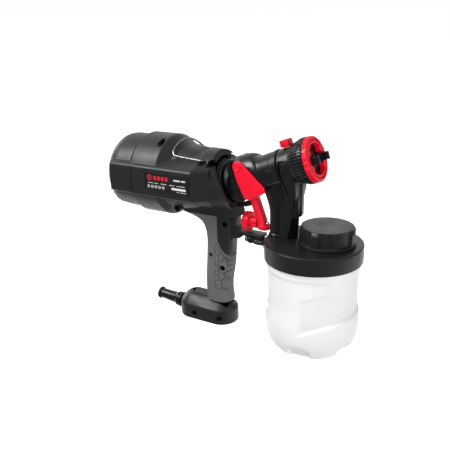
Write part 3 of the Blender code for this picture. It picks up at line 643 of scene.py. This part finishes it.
def label():
    """A generic rating plate: a framed plain panel with a red bar and rows of short marks, and no wording."""
    face = -51.9
    plate = sheet("plate", (-191, 173.6), (-129, 195.6), face - 0.2, -50.8, 0.15, 1)
    cut(plate, sheet("recess", (-190.1, 174.5), (-129.9, 194.7), face - 1, face + 0.25, 0, 0.7))
    finish_piece(plate, "label_plate_detail", "gun", DEEP, ["label_plate"])
    low = face + 0.1
    high = face + 0.3

    def ring_mark(x, z, inner, outer):
        return turned("dot", [(inner, -high), (outer, -high), (outer, -low), (inner, -low)],
                      Matrix.Translation((x, 0, z)) @ Matrix.Rotation(math.pi / 2, 4, "X"), SMALL)
    marks = []
    for z, tall, spans in ((183, 0.6, [(-186, -179), (-177, -172), (-168, -160), (-156, -149), (-146, -135)]),
                           (188.6, 1.7, [(-150, -141), (-139, -134)]),
                           (176, 0.5, [(-146, -143), (-141.5, -133)])):
        marks += [sheet("dash", (start, z), (stop, z + tall), low, high) for start, stop in spans]
    marks += [ring_mark(-185.5 + i * 5.2, 179, 1.05, 1.75) for i in range(5)]
    marks.append(sheet("strip", (-153, 178.2), (-133.5, 180.7), low, high, 0, 0.4))
    finish_piece(joined("marks", marks), "label_marks_white", "gun", PRINT_WHITE)
    red = [ring_mark(-183.9, 189.4, 2.1, 3.4), ring_mark(-183.9, 189.4, 0, 1.1)]
    for x in [-178 + i * 5.4 for i in range(4)]:
        red.append(sheet("mark", (x, 186.9), (x + 3.9, 191.9), low, high, 0, 0.8))
    finish_piece(joined("red_marks", red), "label_marks_red", "gun", PRINT_RED)


def spline(points, count):
    """A smooth path through points."""
    pts = [Vector(p) for p in points]
    padded = [pts[0]] + pts + [pts[-1]]
    out = []
    for a, b, c, e in zip(padded, padded[1:], padded[2:], padded[3:]):
        for t in [k / count for k in range(count)]:
            out.append(0.5 * ((2 * b) + (c - a) * t + (2 * a - 5 * b + 4 * c - e) * t * t
                              + (3 * b - a - 3 * c + e) * t ** 3))
    return out + [pts[-1]]


def wire_hook():
    left = [(-166.8, 9, 225.6), (-166.6, 18, 222.6), (-165.8, 26.8, 217.6), (-162.8, 30.4, 213.6), (-157, 31, 212.3),
            (-134, 29.6, 210.3), (-126.6, 29.2, 209.8), (-125, 27.4, 209.2), (-125, 24, 208.4)]
    right = [(x, -y, z) for x, y, z in reversed(left)]
    wire = bar("hook", spline(right + [(-166.9, 0, 226.5)] + left, 8), 1.1, 14)
    finish_piece(wire, "hook_wire", "hook", DULL_STEEL, ["wire_hook"], 60)


# ---- handle --------------------------------------------------------------------------------
def soft_grip():
    grip = handle_block(29, 140.8, 0.5, True)
    cut(grip, core_prism("edge", -0.25), brick("inner", (-133.3, -10.2, 20), (-111, 10.2, 160), HERE, 0))
    cut(grip, *[well(x, z, radius, 6, side) for x, z, radius in ((-112.2, 75, 3.7), (-127.4, 90, 3))
                for side in SIDES])
    finish_piece(grip, "soft_grip", "gun", GREY, ["grip_overmould"], 50)
    # the screw heads are painted near-black as the shade in their wells
    heads = [screw_head(-112.2, 75, reach) for reach in (-8.6, 6.8)]
    finish_piece(joined("heads", heads), "grip_screws", "gun", WELL_SHADE_STEEL, ["screw_2"])


def stadium_ring(inset, height_at, count=40):
    """A level ring with round ends, drawn in by inset, with its height read from x."""
    half = 21 - inset
    rear = -159
    front = -121.6
    flat = [(rear + (front - rear) * k / count, -half) for k in range(count)]
    flat += arc((front, 0), half, -90, 90, count + 1)[:-1]
    flat += [(front + (rear - front) * k / count, half) for k in range(count)]
    flat += arc((rear, 0), half, 90, 270, count + 1)[:-1]
    return [(x, y, height_at(x)) for x, y in flat]


def foot_top(share):
    """Height of the foot's shoulder at a share of the way in: a dome behind the grip, a flat chamfer before it."""
    dome = 17.5 + 13.5 * math.sin(share * math.pi / 2) ** 0.9
    slope = 18.6 + 10.4 * min(1, share * 1.2)
    return lambda x: dome + (slope - dome) * step_up(x, -158, -128)


def base_foot():
    rings = [stadium_ring(inset, lambda x: z) for inset, z in ((1.2, 0), (0.4, 0.4), (0, 1.4))]
    rings += [stadium_ring(0, lambda x: 1.4 + 15.2 * k / 9) for k in range(1, 10)]
    for share in [k / 25 for k in range(1, 26)]:
        top = foot_top(share)
        rings.append(stadium_ring(15.5 * share, lambda x: max(top(x), 16.7)))
    foot = skinned("foot", rings)
    chamber = skinned("chamber", [stadium_ring(3, lambda x: z) for z in (14, 15.4)])
    cut(foot, brick("room", (-133.3, -11.3, 10), (-108.2, 11.3, 60), HERE, 0), rod("cord", 5.3, -30, 30, CORD), chamber)
    cut(foot, *[well(x, z, 3.8, 2, side) for side in SIDES for x, z in ((-150.2, 8.4), (-114.4, 8.8))])
    finish_piece(foot, "handle_foot", "gun", SHELL, ["base_foot"], 40)


def strain_relief():
    line = [(3.6, -8), (5, -8), (5, 1), (9.6, 1.2), (9.8, 3), (9, 3.6), (9, 5), (9.6, 5.8), (9.4, 8),
            (8.2, 9.4), (7.4, 11), (6.9, 20), (6.5, 33), (6.8, 34.4), (8, 35.2), (8.2, 36.4), (7.8, 38),
            (4.6, 38), (3.6, 37)]
    sleeve = turned("sleeve", rounded(line, 0.6, 3), CORD, MIDDLE)
    finish_piece(sleeve, "cord_sleeve", "gun", GLOSS, ["strain_relief"], 50)


def strut():
    outline = [(-98.7, 114.5), (-90, 116), (-87, 119.7), (-61.2, 119.7), (-61.2, 123.7), (-93.2, 124.2),
               (-96.1, 128), (-96.4, 146.5), (-98.9, 148)]
    body = slab("strut", outline, -7.5, 7.5, edge=0.5, corner=1.2)
    channel = [(-90, 117.6), (-60, 121), (-60, 122.4), (-90, 122.6)]
    cut(body, *[slab("channel", channel, *pair(side, 5.9, 9), edge=0) for side in SIDES])
    lip = [(-103, 112), (-98.7, 113.2), (-98.7, 150), (-103, 150)]
    lips = [slab("lip", lip, *pair(side, 6.7, 8.5), edge=0.4) for side in SIDES]
    finish_piece(joined("strut", [body] + lips), "strut_rail", "gun", SHELL, ["strut"])


def barrel_knurl(radius, height, angle):
    return radius + 0.28 * math.cos(angle * 18) if radius > 5.1 and -73 < height < -61 else radius


def clamp():
    line = rounded([(2.3, -81), (5, -81), (5, -76.4), (4.3, -75.8), (4.3, -74.2), (5.2, -73.4), (5.2, -60.6),
                    (2.3, -60.6)], 0.4, 3)
    barrel = turned("barrel", densified(line, 1.2), CLAMP, 144, barrel_knurl)
    finish_piece(barrel, "clamp_barrel_detail", "gun", GLOSS, ["clamp_barrel"])
    screw = turned("screw", rounded([(0, -62), (2, -62), (2, -81.4), (3.9, -81.4), (3.9, -84.6), (3.2, -86), (0, -86)],
                                    0.5, 3), CLAMP, SMALL)
    cut(screw, brick("slot", (-4.5, -0.5, -87), (4.5, 0.5, -84.9), CLAMP, 0))
    finish_piece(screw, "clamp_thumb_screw", "clamp_screw", DULL_STEEL, ["clamp_screw"])


# ---- spray head ----------------------------------------------------------------------------
# the head's reach above its axis, to each side and below, along the axis
HEAD_TALL = [(-101.5, 19), (-100, 20.4), (-96, 21.5), (-88, 21.9), (-80, 21.6), (-76, 21), (-72.5, 19.6),
             (-69.5, 18.6), (-66, 18.1), (-62, 17.9), (-56, 18.5), (-50, 18.9), (-45.6, 19), (-45, 20),
             (-41.6, 20.1), (-41.1, 19.6)]
HEAD_WIDE = [(-101.5, 15.6), (-99, 16.8), (-94, 17), (-91, 17.6), (-86, 18.7), (-52, 18.7), (-48, 19),
             (-45.6, 19), (-45, 19.8), (-41.6, 19.9), (-41.1, 19.5)]
HEAD_DEEP = [(-101.5, 17), (-80, 18), (-72, 16), (-58, 14.4), (-41.1, 14.2)]
# where the raised shroud begins, as level over the head's axis and distance behind the nose
SHROUD_EDGE = [(-19, 59), (-11, 61), (0, 63), (8, 65.5), (15, 69), (20, 72), (24, 73.5)]


def head_ring(height):
    """A section of the head: oval above, boxy below, and thicker behind the edge of the raised shroud."""
    tall, wide, deep = [between(table, height) for table in (HEAD_TALL, HEAD_WIDE, HEAD_DEEP)]
    power = 2.4 + 9 * step_up(height, -84, -70)

    def reach_at(angle):
        up = -math.cos(angle)
        side = abs(math.sin(angle))
        if up > 0:
            reach = ((up / tall) ** 2 + (side / wide) ** 2) ** -0.5
        else:
            reach = ((-up / deep) ** power + (side / wide) ** power) ** (-1 / power)
        start = between(SHROUD_EDGE, reach * up)
        raised = step_up(-height, start - 0.9, start + 1.4) * (1 - step_up(-height, 95, 98))
        return reach + 2.4 * raised * step_up(up, -0.95, -0.75)
    return polar_ring(reach_at, height, 288)


def seam_gaps():
    """Cutters for the L-shaped gap between the head and its nose on each side, and the gap that runs down from it."""
    upper = [(-29.2, 217.2), (-36.6, 215.8), (-35.2, 205), (-32.8, 196), (-31, 196.6), (-33.2, 205.4),
             (-34, 213.4), (-28.8, 214.8)]
    lower = [(-32.9, 197), (-25.2, 176), (-23.6, 176.6), (-31, 197.6)]
    return [slab("gap", outline, *pair(side, near, 30), edge=0) for side in SIDES
            for outline, near in ((upper, 16.9), (lower, 13.6))]


def riser_parts():
    """The stem from the lid up to the head: a round tube, a front channel, and the skirt that joins it to the nose."""
    tube = skinned("tube", [level_ring(*row, count=72) for row in (
        (126.9, -54.6, -33.4, 10.8), (128.2, -54.4, -33.6, 10.6), (129.6, -53.2, -34.8, 9.4), (140, -53.1, -35, 9),
        (152, -53.2, -35, 9), (158, -53.8, -34.6, 9.2), (164, -55.4, -34, 9.8), (170, -57.6, -33, 10.6),
        (176, -59.8, -32, 11.6), (183, -61.6, -31.5, 12.8), (190, -62, -31, 13.8), (197, -60, -31, 13.8))])
    rings = []
    for z, corner, nose, flat in ((126.9, -27.8, -20.6, 4.6), (151, -23.2, -20, 6), (153, -22.8, -16, 8.6),
                                  (189.5, -22.2, -16, 8.6)):
        half = [(-38, -9), (corner - 1.2, -9.5), (corner - 0.5, -10.4), (corner + 0.4, -10.4), (corner + 0.9, -9.6),
                (nose - 0.7, -flat), (nose, -flat + 0.8), (nose, -1.8), (nose + 1.2, -1.2)]
        rings.append([(x, y, z) for x, y in half] + [(x, -y, z) for x, y in reversed(half)])
    channel = soften(skinned("channel", rings), 0.3, 2, 30)
    skirt = skinned("skirt", [level_ring(*row, 0.2, 64, 0.5) for row in (
        (160.2, -25.4, -22, 10.6), (168, -27.4, -19, 12.2), (178, -30, -16.6, 14.4), (187, -32.4, -16, 16.4),
        (196.7, -34.9, -17.8, 18.2), (204, -36.9, -20, 19), (210, -38.4, -22, 18))])
    return [tube, channel, cut(skirt, *seam_gaps())]


def head_casting():
    stops = [-101.5 + 0.7 * k for k in range(87)] + [-45.65, -45.5, -45.05, -44.9, -41.6, -41.1]
    barrel = skinned("barrel", [head_ring(stop) for stop in sorted(stops)], HEAD)
    centre = (PIVOT.x, PIVOT.z)
    pocket = arc(centre, 9.2, 42, 178, 14) + [(-93.4, 201.5), (-93.6, 196), (-92.4, 189.5), (-100, 184), (-100, 160),
                                              (-40, 160), (-40, 176), (-47.8, 181.5), (-48.6, 186.6)]
    cut(barrel, *[slab("room", pocket, *pair(side, 18.7, 40), edge=0) for side in SIDES], *seam_gaps())
    collar = turned("collar", rounded([(0, 17), (19, 17), (22, 11), (23, 9.5), (23, 3.4), (0, 3.4)],
                                      [0, 1, 1, 1, 0.5, 0], 4), MOUTH, FINE)
    cut(collar, rod("way", 7.2, -130, -60, HEAD), brick("bar_room", (-85, -13.5, 150), (-60, 13.5, 178), HERE, 0))
    cut(collar, *side_bricks("room", (-97, -47), (18.3, 50), (150, 240)))
    finish_piece(collar, "head_collar_detail", "gun", DEEP)
    hook = (arc(centre, 13.4, 146, 182, 7) + [(-97.8, 199), (-96.6, 194), (-94.2, 192), (-91.4, 193),
                                              (-90.4, 196.2)] + arc(centre, 9.3, 186, 140, 7))
    emboss = [(-54.1, 197.3), (-52.2, 202.9), (-44.6, 205.7), (-40.1, 202.7)]
    lower = [(-50.5, 186.6), (-49.8, 188.8), (-32, 195.4), (-31.6, 193)]
    cheeks = []
    for side in SIDES:
        cheeks += [slab("hook", hook, *pair(side, 14.5, 20.4), edge=1),
                   slab("emboss", emboss, *pair(side, 18.2, 19.75), edge=0.5, corner=0.8),
                   slab("lower_edge", lower, *pair(side, 12, 19.6), edge=0.5)]
    finish_piece(joined("head", [barrel] + cheeks + riser_parts()), "head_casting", "gun", GLOSS,
                 ["head_body"], 35)


def fluid_parts():
    nozzle = turned("nozzle", rounded([(1.2, -4), (1.9, -4), (2.6, -12), (6, -20), (6, -41.7), (3, -41.7), (3, -14),
                                       (1.2, -8)], 0.4, 3), HEAD, MIDDLE)
    finish_piece(nozzle, "fluid_tip", "gun", BRASS, ["fluid_nozzle"])


def nut_ribs(radius, height, angle):
    if radius < 18.5:
        return radius
    share = step_up(height, -24, -22.6) * (1 - step_up(height, -7.9, -7.2))
    return radius - 1.15 * share * (1 - step_up(math.cos(angle * 44), -0.25, 0.35))


def nozzle_group():
    barrel = turned("barrel", rounded([(16.8, -12.5), (16.8, -24.1), (19.6, -24.1), (19.6, -39.4), (19, -40),
                                       (14, -40), (14, -12.5)], 0.4, 3), HEAD, FINE)
    cut(barrel, brick("notch", (-1.6, -21, -40.5), (0.2, -18.2, -34.2), HEAD, 0),
        brick("drop", (-1.6, -21, -40.5), (14, -18, -38.8), HEAD, 0), *seam_gaps())
    bead = turned("bead", rounded([(19, -25.2), (20.1, -25.2), (20.1, -26.6), (19, -26.6)], 0.4, 3), HEAD, FINE)
    finish_piece(joined("front", [barrel, bead]), "front_barrel", "gun", GLOSS, ["nozzle_barrel"])
    line = rounded([(17.1, -6.2), (24.6, -6.2), (25.5, -7.2), (25.5, -12.5), (24.3, -15), (21.9, -23.4),
                    (21.2, -24), (17.1, -24)], [0, 0.3, 0.6, 1.2, 2, 0.5, 0.3, 0], 4)
    nut = turned("nut", densified(line, 0.7), HEAD, 704, nut_ribs)
    finish_piece(nut, "lock_nut_ribbed", "lock_nut", GLOSS, ["lock_nut"], 28)


def ring_change(radius, height, angle):
    """Square pockets round the red ring's side, and four tabs that narrow its opening."""
    if radius > 24.2:
        turn = (angle / TAU * 24) % 1
        across = step_up(turn, 0.2, 0.24) * (1 - step_up(turn, 0.76, 0.8))
        along = step_up(height, -5.55, -5.35) * (1 - step_up(height, -1.7, -1.5))
        return radius - 1.5 * across * along
    if radius < 18.6:
        lean = abs(math.degrees(math.asin(min(1, abs(math.cos(angle))))))
        tab = step_up(lean, 17, 22) * (1 - step_up(lean, 33, 39))
        return radius - 2.6 * tab
    return radius


def air_cap():
    line = rounded([(17.4, -5.9), (25.1, -5.9), (25.1, -1.5), (23.7, 0), (20.9, 0), (20.4, -0.6), (19, -0.6),
                    (18.5, -0.1), (17.8, -0.2), (17.4, -0.8)], [0, 0.3, 0.8, 0.8, 0.3, 0.3, 0.3, 0.3, 0.2, 0], 4)
    ring = turned("ring", densified(line, 0.45) + [(17.4, -2.5), (17.4, -4.2)], HEAD, 576, ring_change)
    grooves = [arc((0, 0), 21.7, middle - 52, middle + 52, 25) + arc((0, 0), 19.7, middle + 52, middle - 52, 25)
               for middle in (0, 180)]
    cut(ring, *[slab("groove", groove, -3, 1, "XY", HEAD, edge=0) for groove in grooves])
    finish_piece(ring, "air_cap_ring_red", "air_cap", RED, ["air_cap_ring"], 30)

    cap = turned("cap", rounded([(3.2, -10), (16.5, -10), (16.5, -6.5), (10, -6.5), (7.6, -5), (4.2, -4.6),
                                 (3.2, -5.2)], [0, 0.3, 0.4, 0.8, 0.8, 0.5, 0], 4), HEAD, FINE)
    cut(cap, *[rod("hole", 0.6, -12, 0, HEAD @ Matrix.Translation((side * 12, 0, 0)), 16) for side in SIDES])
    parts = [cap]
    for side in SIDES:
        outline = [(9.6, -9), (15.9, -9), (15.9, 6), (14.9, 7.6), (11.4, 7.6), (9.9, 4.6), (10.3, 1.5),
                   (9, -2.5)]
        horn = slab("horn", [(side * u, v) for u, v in outline], -4.2, 4.2, "YZ", HEAD, 0.5, 0.5)
        jet = Matrix.Translation((0, side * 10.2, 3.2)) @ Matrix.Rotation(side * math.radians(-60), 4, "X")
        parts.append(cut(horn, rod("hole", 1.15, -3, 3, HEAD @ jet)))
    for u, v, top in ((1.4, 16, -5.6), (15.8, 1.3, -6)):
        web = brick("web", (-u, -v, -8), (u, v, top), HEAD, 0.3)
        parts.append(cut(web, rod("eye", 3.4, -12, 0, HEAD)))
    finish_piece(joined("cap", parts), "air_cap_horned", "air_cap", GLOSS, ["air_cap"])


def slider():
    parts = [brick("slider", (-27.4, -5.4, -35.4), (-21.5, 5.4, -25), HEAD, 0.8),
             brick("stem", (-22.5, -3.4, -34), (-20, 3.4, -26.5), HEAD, 0.4)]
    parts += [brick("rib", (-28.3, -5.8, level), (-20.6, 5.8, level + 1.2), HEAD, 0.3)
              for level in [-35.6 + i * 2.25 for i in range(5)]]
    finish_piece(joined("slider", parts), "pattern_slider_ribbed", "slider", RED, ["pattern_slider"])


# ---- trigger -------------------------------------------------------------------------------
def trigger():
    cheek = arc((PIVOT.x, PIVOT.z), 6.6, 200, 42, 12) + [
        (-51, 185.2), (-49.8, 182.6), (-51, 179.7), (-65, 171.2), (-70, 169.6), (-75.6, 171.8), (-79.8, 177.6),
        (-84, 186.4), (-87.6, 196)]
    cheek = rounded_loop(cheek, 1.6, 3)
    boss = [(2.7, 21.4), (4.6, 21.4), (4.6, 22.4), (4, 22.8), (3.4, 22.8), (2.7, 22.3)]
    parts = []
    for side in SIDES:
        parts.append(slab("cheek", cheek, *pair(side, 19, 21.8), edge=0.8))
        parts.append(turned("boss", [(radius, side * level) for radius, level in boss],
                            along_y(PIVOT.x, PIVOT.z), MIDDLE))
    web = [(-76.3, 171.4), (-55.2, 178.4), (-52, 180), (-52.2, 178.8), (-65, 170.4), (-70, 168.8), (-76.5, 169.8)]
    parts.append(cut(slab("web", web, -20.5, 20.5, edge=0.5),
                     brick("room", (-62.6, -13, 160), (-40, 13, 190), HERE, 0)))
    parts.append(skinned("bar", [level_ring(*row, 0.8) for row in (
        (172.5, -79.6, -66, 11), (169.5, -79.8, -68, 8.6), (166, -79.2, -68.4, 7.2), (160, -77.2, -66.1, 6.8),
        (150, -73.4, -62, 6.5), (141, -69.8, -58.6, 6.4), (137.2, -69, -58.2, 6.5), (135.6, -68.8, -57.8, 6.9),
        (135, -68.8, -54.6, 7.5), (131.4, -68.2, -54.4, 7.5), (130.4, -67.6, -54.8, 7.1),
        (129.9, -66, -56.2, 5.6))]))
    parts.append(slab("lug", [(-79.6, 161.5), (-73, 160.5), (-74.5, 167), (-79, 167)], -3.2, 3.2, edge=0.5))
    finish_piece(joined("trigger", parts), "trigger_red", "trigger", RED, ["trigger"], 35)
    pin = turned("pin", rounded([(0, -23), (2.5, -23), (2.5, 23), (0, 23)], 0.4, 3), along_y(PIVOT.x, PIVOT.z), SMALL)
    finish_piece(pin, "trigger_pin_detail", "gun", RED, ["trigger_pin"])


def flutes(radius, height, angle):
    """The knob's knurl, and the finer one on its neck."""
    if radius > 9.5 and height > 9.3:
        return radius - 0.8 * (1 - step_up(math.cos(angle * 20), -0.4, 0.3))
    if 6.6 < radius < 8.2 and 0.8 < height < 8.8:
        return radius - 0.9 * (1 - step_up(math.cos(angle * 14), -0.2, 0.3))
    return radius


def knob():
    line = rounded([(2.8, 0.5), (7, 0.5), (7, 9), (9, 9.2), (11.5, 9.6), (11.5, 16.8), (10.6, 18),
                    (7, 18), (6.4, 17.2), (2.8, 17.2)], [0, 0.3, 0.3, 0.3, 0.6, 0.6, 0.6, 0.3, 0.3, 0], 3)
    made = turned("knob", densified(line, 0.8), KNOB, 320, flutes)
    finish_piece(made, "flow_knob_knurled", "flow_knob", RED, ["flow_knob"], 28)


def plunger():
    paddle = brick("paddle", (-2.8, -4, 8.3), (3, 4, 18.1), PLUNGER, 0.8)
    made = united(rod("rod", 2.6, -10, 9, PLUNGER), paddle)
    finish_piece(made, "plunger_paddle", "plunger", GLOSS, ["switch_plunger"])


# ---- lid, filler cap and cup ---------------------------------------------------------------
def lid():
    line = rounded([(0, 126.5), (53, 126.5), (54.6, 125.9), (55, 124.6), (55, 107.2), (54.4, 106.6),
                    (51.4, 106.6), (51.4, 122.8), (0, 122.8)], [0, 0.6, 0.6, 0.6, 0.4, 0.4, 0.4, 0.5, 0], 3)
    parts = [turned("lid", line, HERE, 192),
             turned("neck", [(22.6, 125.5), (25, 125.5), (25, 138), (22.6, 138)], FILLER),
             brick("lug", (-60, -6, 108), (-53, 6, 119.6), HERE, 0.8)]
    finish_piece(joined("lid", parts), "cup_lid", "gun", LID_PLASTIC, ["lid"])


def grip_recess(radius, height, angle):
    """Eight finger recesses round the filler cap."""
    if radius < 26.5 or height < 129.9:
        return radius
    turn = ((angle / TAU * 8) + 0.12) % 1
    across = step_up(turn, 0.17, 0.21) * (1 - step_up(turn, 0.79, 0.83))
    return min(radius, radius - (radius - 28.4) * across * step_up(height, 130, 130.5))


def filler_cap():
    line = rounded([(0, 147), (28, 147.2), (28.8, 146.8), (30.6, 143.6), (31, 142.4), (31.1, 129.6),
                    (31.4, 129.2), (31.4, 126.9), (25.3, 126.9), (25.3, 142.4), (0, 142.4)],
                   [0, 0.6, 0.6, 0.6, 0.8, 0.3, 0.3, 0.3, 0.3, 0.3, 0], 3)
    cap = turned("cap", densified(line[:-2], 0.8) + line[-2:], FILLER, 480, grip_recess)
    finish_piece(cap, "filler_cap_grips", "filler_cap", LID_PLASTIC, ["filler_cap"], 28)


# the cup's wall as radius and height, and its panels' upper and lower edges as turn and height
CUP_LINE = [(38.5, 0), (39.6, 0.4), (42, 2.1), (46.2, 6.6), (50, 13.8), (52.2, 21.4), (53.1, 28.5), (53.4, 35),
            (53.4, 42), (52.9, 47), (52, 54), (51.6, 62), (51.4, 80), (51.3, 94.5), (51.6, 97), (52.3, 98.6),
            (52.5, 101), (52.4, 106.2)]
CUP_HIGH = [(0, 73.9), (15, 79.4), (32, 83.5), (51, 87), (68, 88.2), (100, 90), (133, 92)]
CUP_LOW = [(0, 33.7), (9.5, 37.6), (22, 42.2), (37, 45.7), (53, 47.2), (66, 48.1), (100, 50), (133, 51)]


def cup_change(radius, height, angle):
    """Two recessed panels that climb round the wall, and shallow arches above the foot."""
    if height > 97 or radius < between([(h, r) for r, h in CUP_LINE], height) - 0.9:
        return radius
    degrees = math.degrees(angle)
    turn = (degrees + 85) % 180
    reach = radius
    if turn < 133:
        high = between(CUP_HIGH, turn)
        low = between(CUP_LOW, turn)
        sides = step_up(turn, -0.5, 8) * (1 - step_up(turn, 127, 133))
        inside = step_up(height, low - 0.3, low + 1.6) * (1 - step_up(height, high - 2.4, high + 0.4))
        floor = 50.3 + 0.5 * (height - low) / max(high - low, 1)
        reach = reach - max(0, reach - floor) * inside * sides
    arch = ((degrees + 84 + 36) % 72) - 36
    if abs(arch) < 18 and height < 24:
        rim = 21 * math.sqrt(max(0, 1 - (arch / 18) ** 2)) ** 0.6
        reach -= 4.2 * (1 - step_up(height, rim - 9, rim)) * (1 - step_up(abs(arch), 13.5, 18))
    return reach


def cup():
    outer = [(38.5, 0)] + CUP_LINE[1:] + [(50.6, 106.2), (50.6, 120)]
    outer = rounded(outer, [0] + [1] * 3 + [3] * 10 + [0.8] * 4 + [0.2] * 4, 3)
    inner = [(48.6, 120), (49, 61.6), (50, 44.6), (50, 35), (48.6, 24), (37, 2), (0, 1.8)]
    profile = [(0, 1.2), (30, 1.2), (34.5, 0)] + densified(outer, 0.9) + inner
    made = turned("cup", profile, HERE, 480, cup_change)
    finish_piece(made, "paint_cup", "cup", WHITE, ["cup"], 50)


# ---- CAD nodes that keep their shape -------------------------------------------------------
def paint_the_rest():
    """Every carried-over node gets a better material in its own slots."""
    # the housing screws are painted near-black as the shade in their wells
    looks = {WELL_SHADE_STEEL: ("screw_1", "screw_3", "screw_4"),
             DULL_STEEL: ("motor_can", "needle_spring", "flow_screw"),
             STEEL: ("bearing_front", "bearing_rear", "needle", "fluid_tube"),
             COPPER: ("armature",),
             DEEP: ("switch_box", "needle_cage", "cord_clamp", "motor_shield", "diffuser"),
             RUBBER: ("motor_mount", "lid_gasket", "filler_gasket"),
             WHITE: ("impeller_front", "impeller_rear", "pickup_tube"),
             FOAM: ("air_filter",),
             BRASS: ("capacitor",)}
    for look, names in looks.items():
        for name in names:
            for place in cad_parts[name].material_slots:
                place.material = look


# ---- stage ---------------------------------------------------------------------------------
def floor():
    """A pale sweep all round: flat under the gun and curving up into a wall far off. It lights nothing."""
    line = [(0, -0.3), (1500, -0.3), (3300, -0.3)]
    line += [(radius, height + 1199.7) for radius, height in arc((3300, 0), 1200, -90, 0, 17)[1:]]
    made = turned("floor", line + [(4500, 6000), (0, 6000.1)])
    for face in made.data.polygons:
        face.use_smooth = True
    look, tree, shader, _ = shaded("pale_floor")
    plug(tree, shader, {"Base Color": (0.86, 0.86, 0.86, 1), "Roughness": 0.9, "Specular IOR Level": 0.1,
                        "Emission Color": (1, 1, 1, 1), "Emission Strength": 0.72})
    made.data.materials.append(look)
    made.visible_diffuse = False
    made.visible_glossy = False
    made.visible_transmission = False
    made.visible_shadow = False


def area(name, offset, aim, size, power, shows=True):
    """A soft rectangular light; one that doesn't show lights surfaces without a reflection of its own."""
    data = bpy.data.lights.new(name, "AREA")
    data.shape = "RECTANGLE"
    data.size, data.size_y = size
    data.energy = power
    made = placed(name, data)
    made.location = aim + offset
    made.rotation_euler = (-offset).to_track_quat("-Z", "Y").to_euler()
    made.visible_glossy = shows


def studio():
    """A tent of light: bright overhead, behind the gun and from below in front, with four soft boxes round it."""
    world = bpy.data.worlds.new("studio")
    world.use_nodes = True
    tree = world.node_tree
    direction = node_of(tree, "ShaderNodeTexCoord", {}).outputs["Generated"]
    away = node_of(tree, "ShaderNodeVectorMath", {0: direction, 1: (-0.52, 0.85, 0)}, operation="DOT_PRODUCT")
    split = node_of(tree, "ShaderNodeSeparateXYZ", {0: direction})
    backdrop = ranged(tree, away.outputs["Value"], 0.13, 1.05, 0.4, 0.9)
    ceiling = ranged(tree, split.outputs["Z"], 0, 0.35, 0.45, 0.95)
    ground = calc(tree, "MULTIPLY", ranged(tree, split.outputs["Z"], 0.95, 0, -0.35, -0.08),
                  ranged(tree, split.outputs["Y"], 0.08, 1, -0.55, 0.35))
    strength = calc(tree, "ADD", calc(tree, "ADD", backdrop, ceiling), ground)
    plug(tree, tree.nodes["Background"], {"Color": (1, 1, 1, 1), "Strength": strength})
    bpy.context.scene.world = world
    aim = Vector((-0.08, 0, 0.13))
    area("key", Vector((-0.49, -0.48, 0.7)) * 1.3, aim, (0.5, 0.5), 13)
    area("right", Vector((0.86, -0.42, -0.02)) * 1.3, aim, (0.6, 0.9), 6, False)
    area("left", Vector((-0.95, 0.25, 0.15)) * 1.3, aim, (0.5, 1), 5)
    area("fill", Vector((0.3, -0.9, 0.3)) * 1.4, aim, (1, 1), 11, False)
    bpy.context.scene.view_settings.view_transform = "Standard"


def camera():
    azimuth = math.radians(31.431)
    lift = math.radians(19.296)
    roll = math.radians(-1.208)
    back = Vector((math.sin(azimuth) * math.cos(lift), -math.cos(azimuth) * math.cos(lift), math.sin(lift)))
    right = Vector((math.cos(azimuth), math.sin(azimuth), 0))
    up = back.cross(right)
    across = right * math.cos(roll) + up * math.sin(roll)
    above = up * math.cos(roll) - right * math.sin(roll)
    turn = Matrix((across, above, back)).transposed().to_4x4()
    data = bpy.data.cameras.new("camera")
    data.lens = 46.713
    data.sensor_width = 36
    data.clip_start = 0.01
    made = placed("camera", data)
    made.matrix_world = Matrix.Translation((0.23105, -0.56549, 0.35832)) @ turn
    bpy.context.scene.camera = made


for build in (camera, housing_halves, rear_cap, mouth_ring, label, wire_hook, soft_grip, base_foot, strain_relief,
              strut, clamp, head_casting, fluid_parts, nozzle_group, air_cap, slider, trigger, knob, plunger, lid,
              filler_cap, cup, paint_the_rest, floor, studio):
    build()
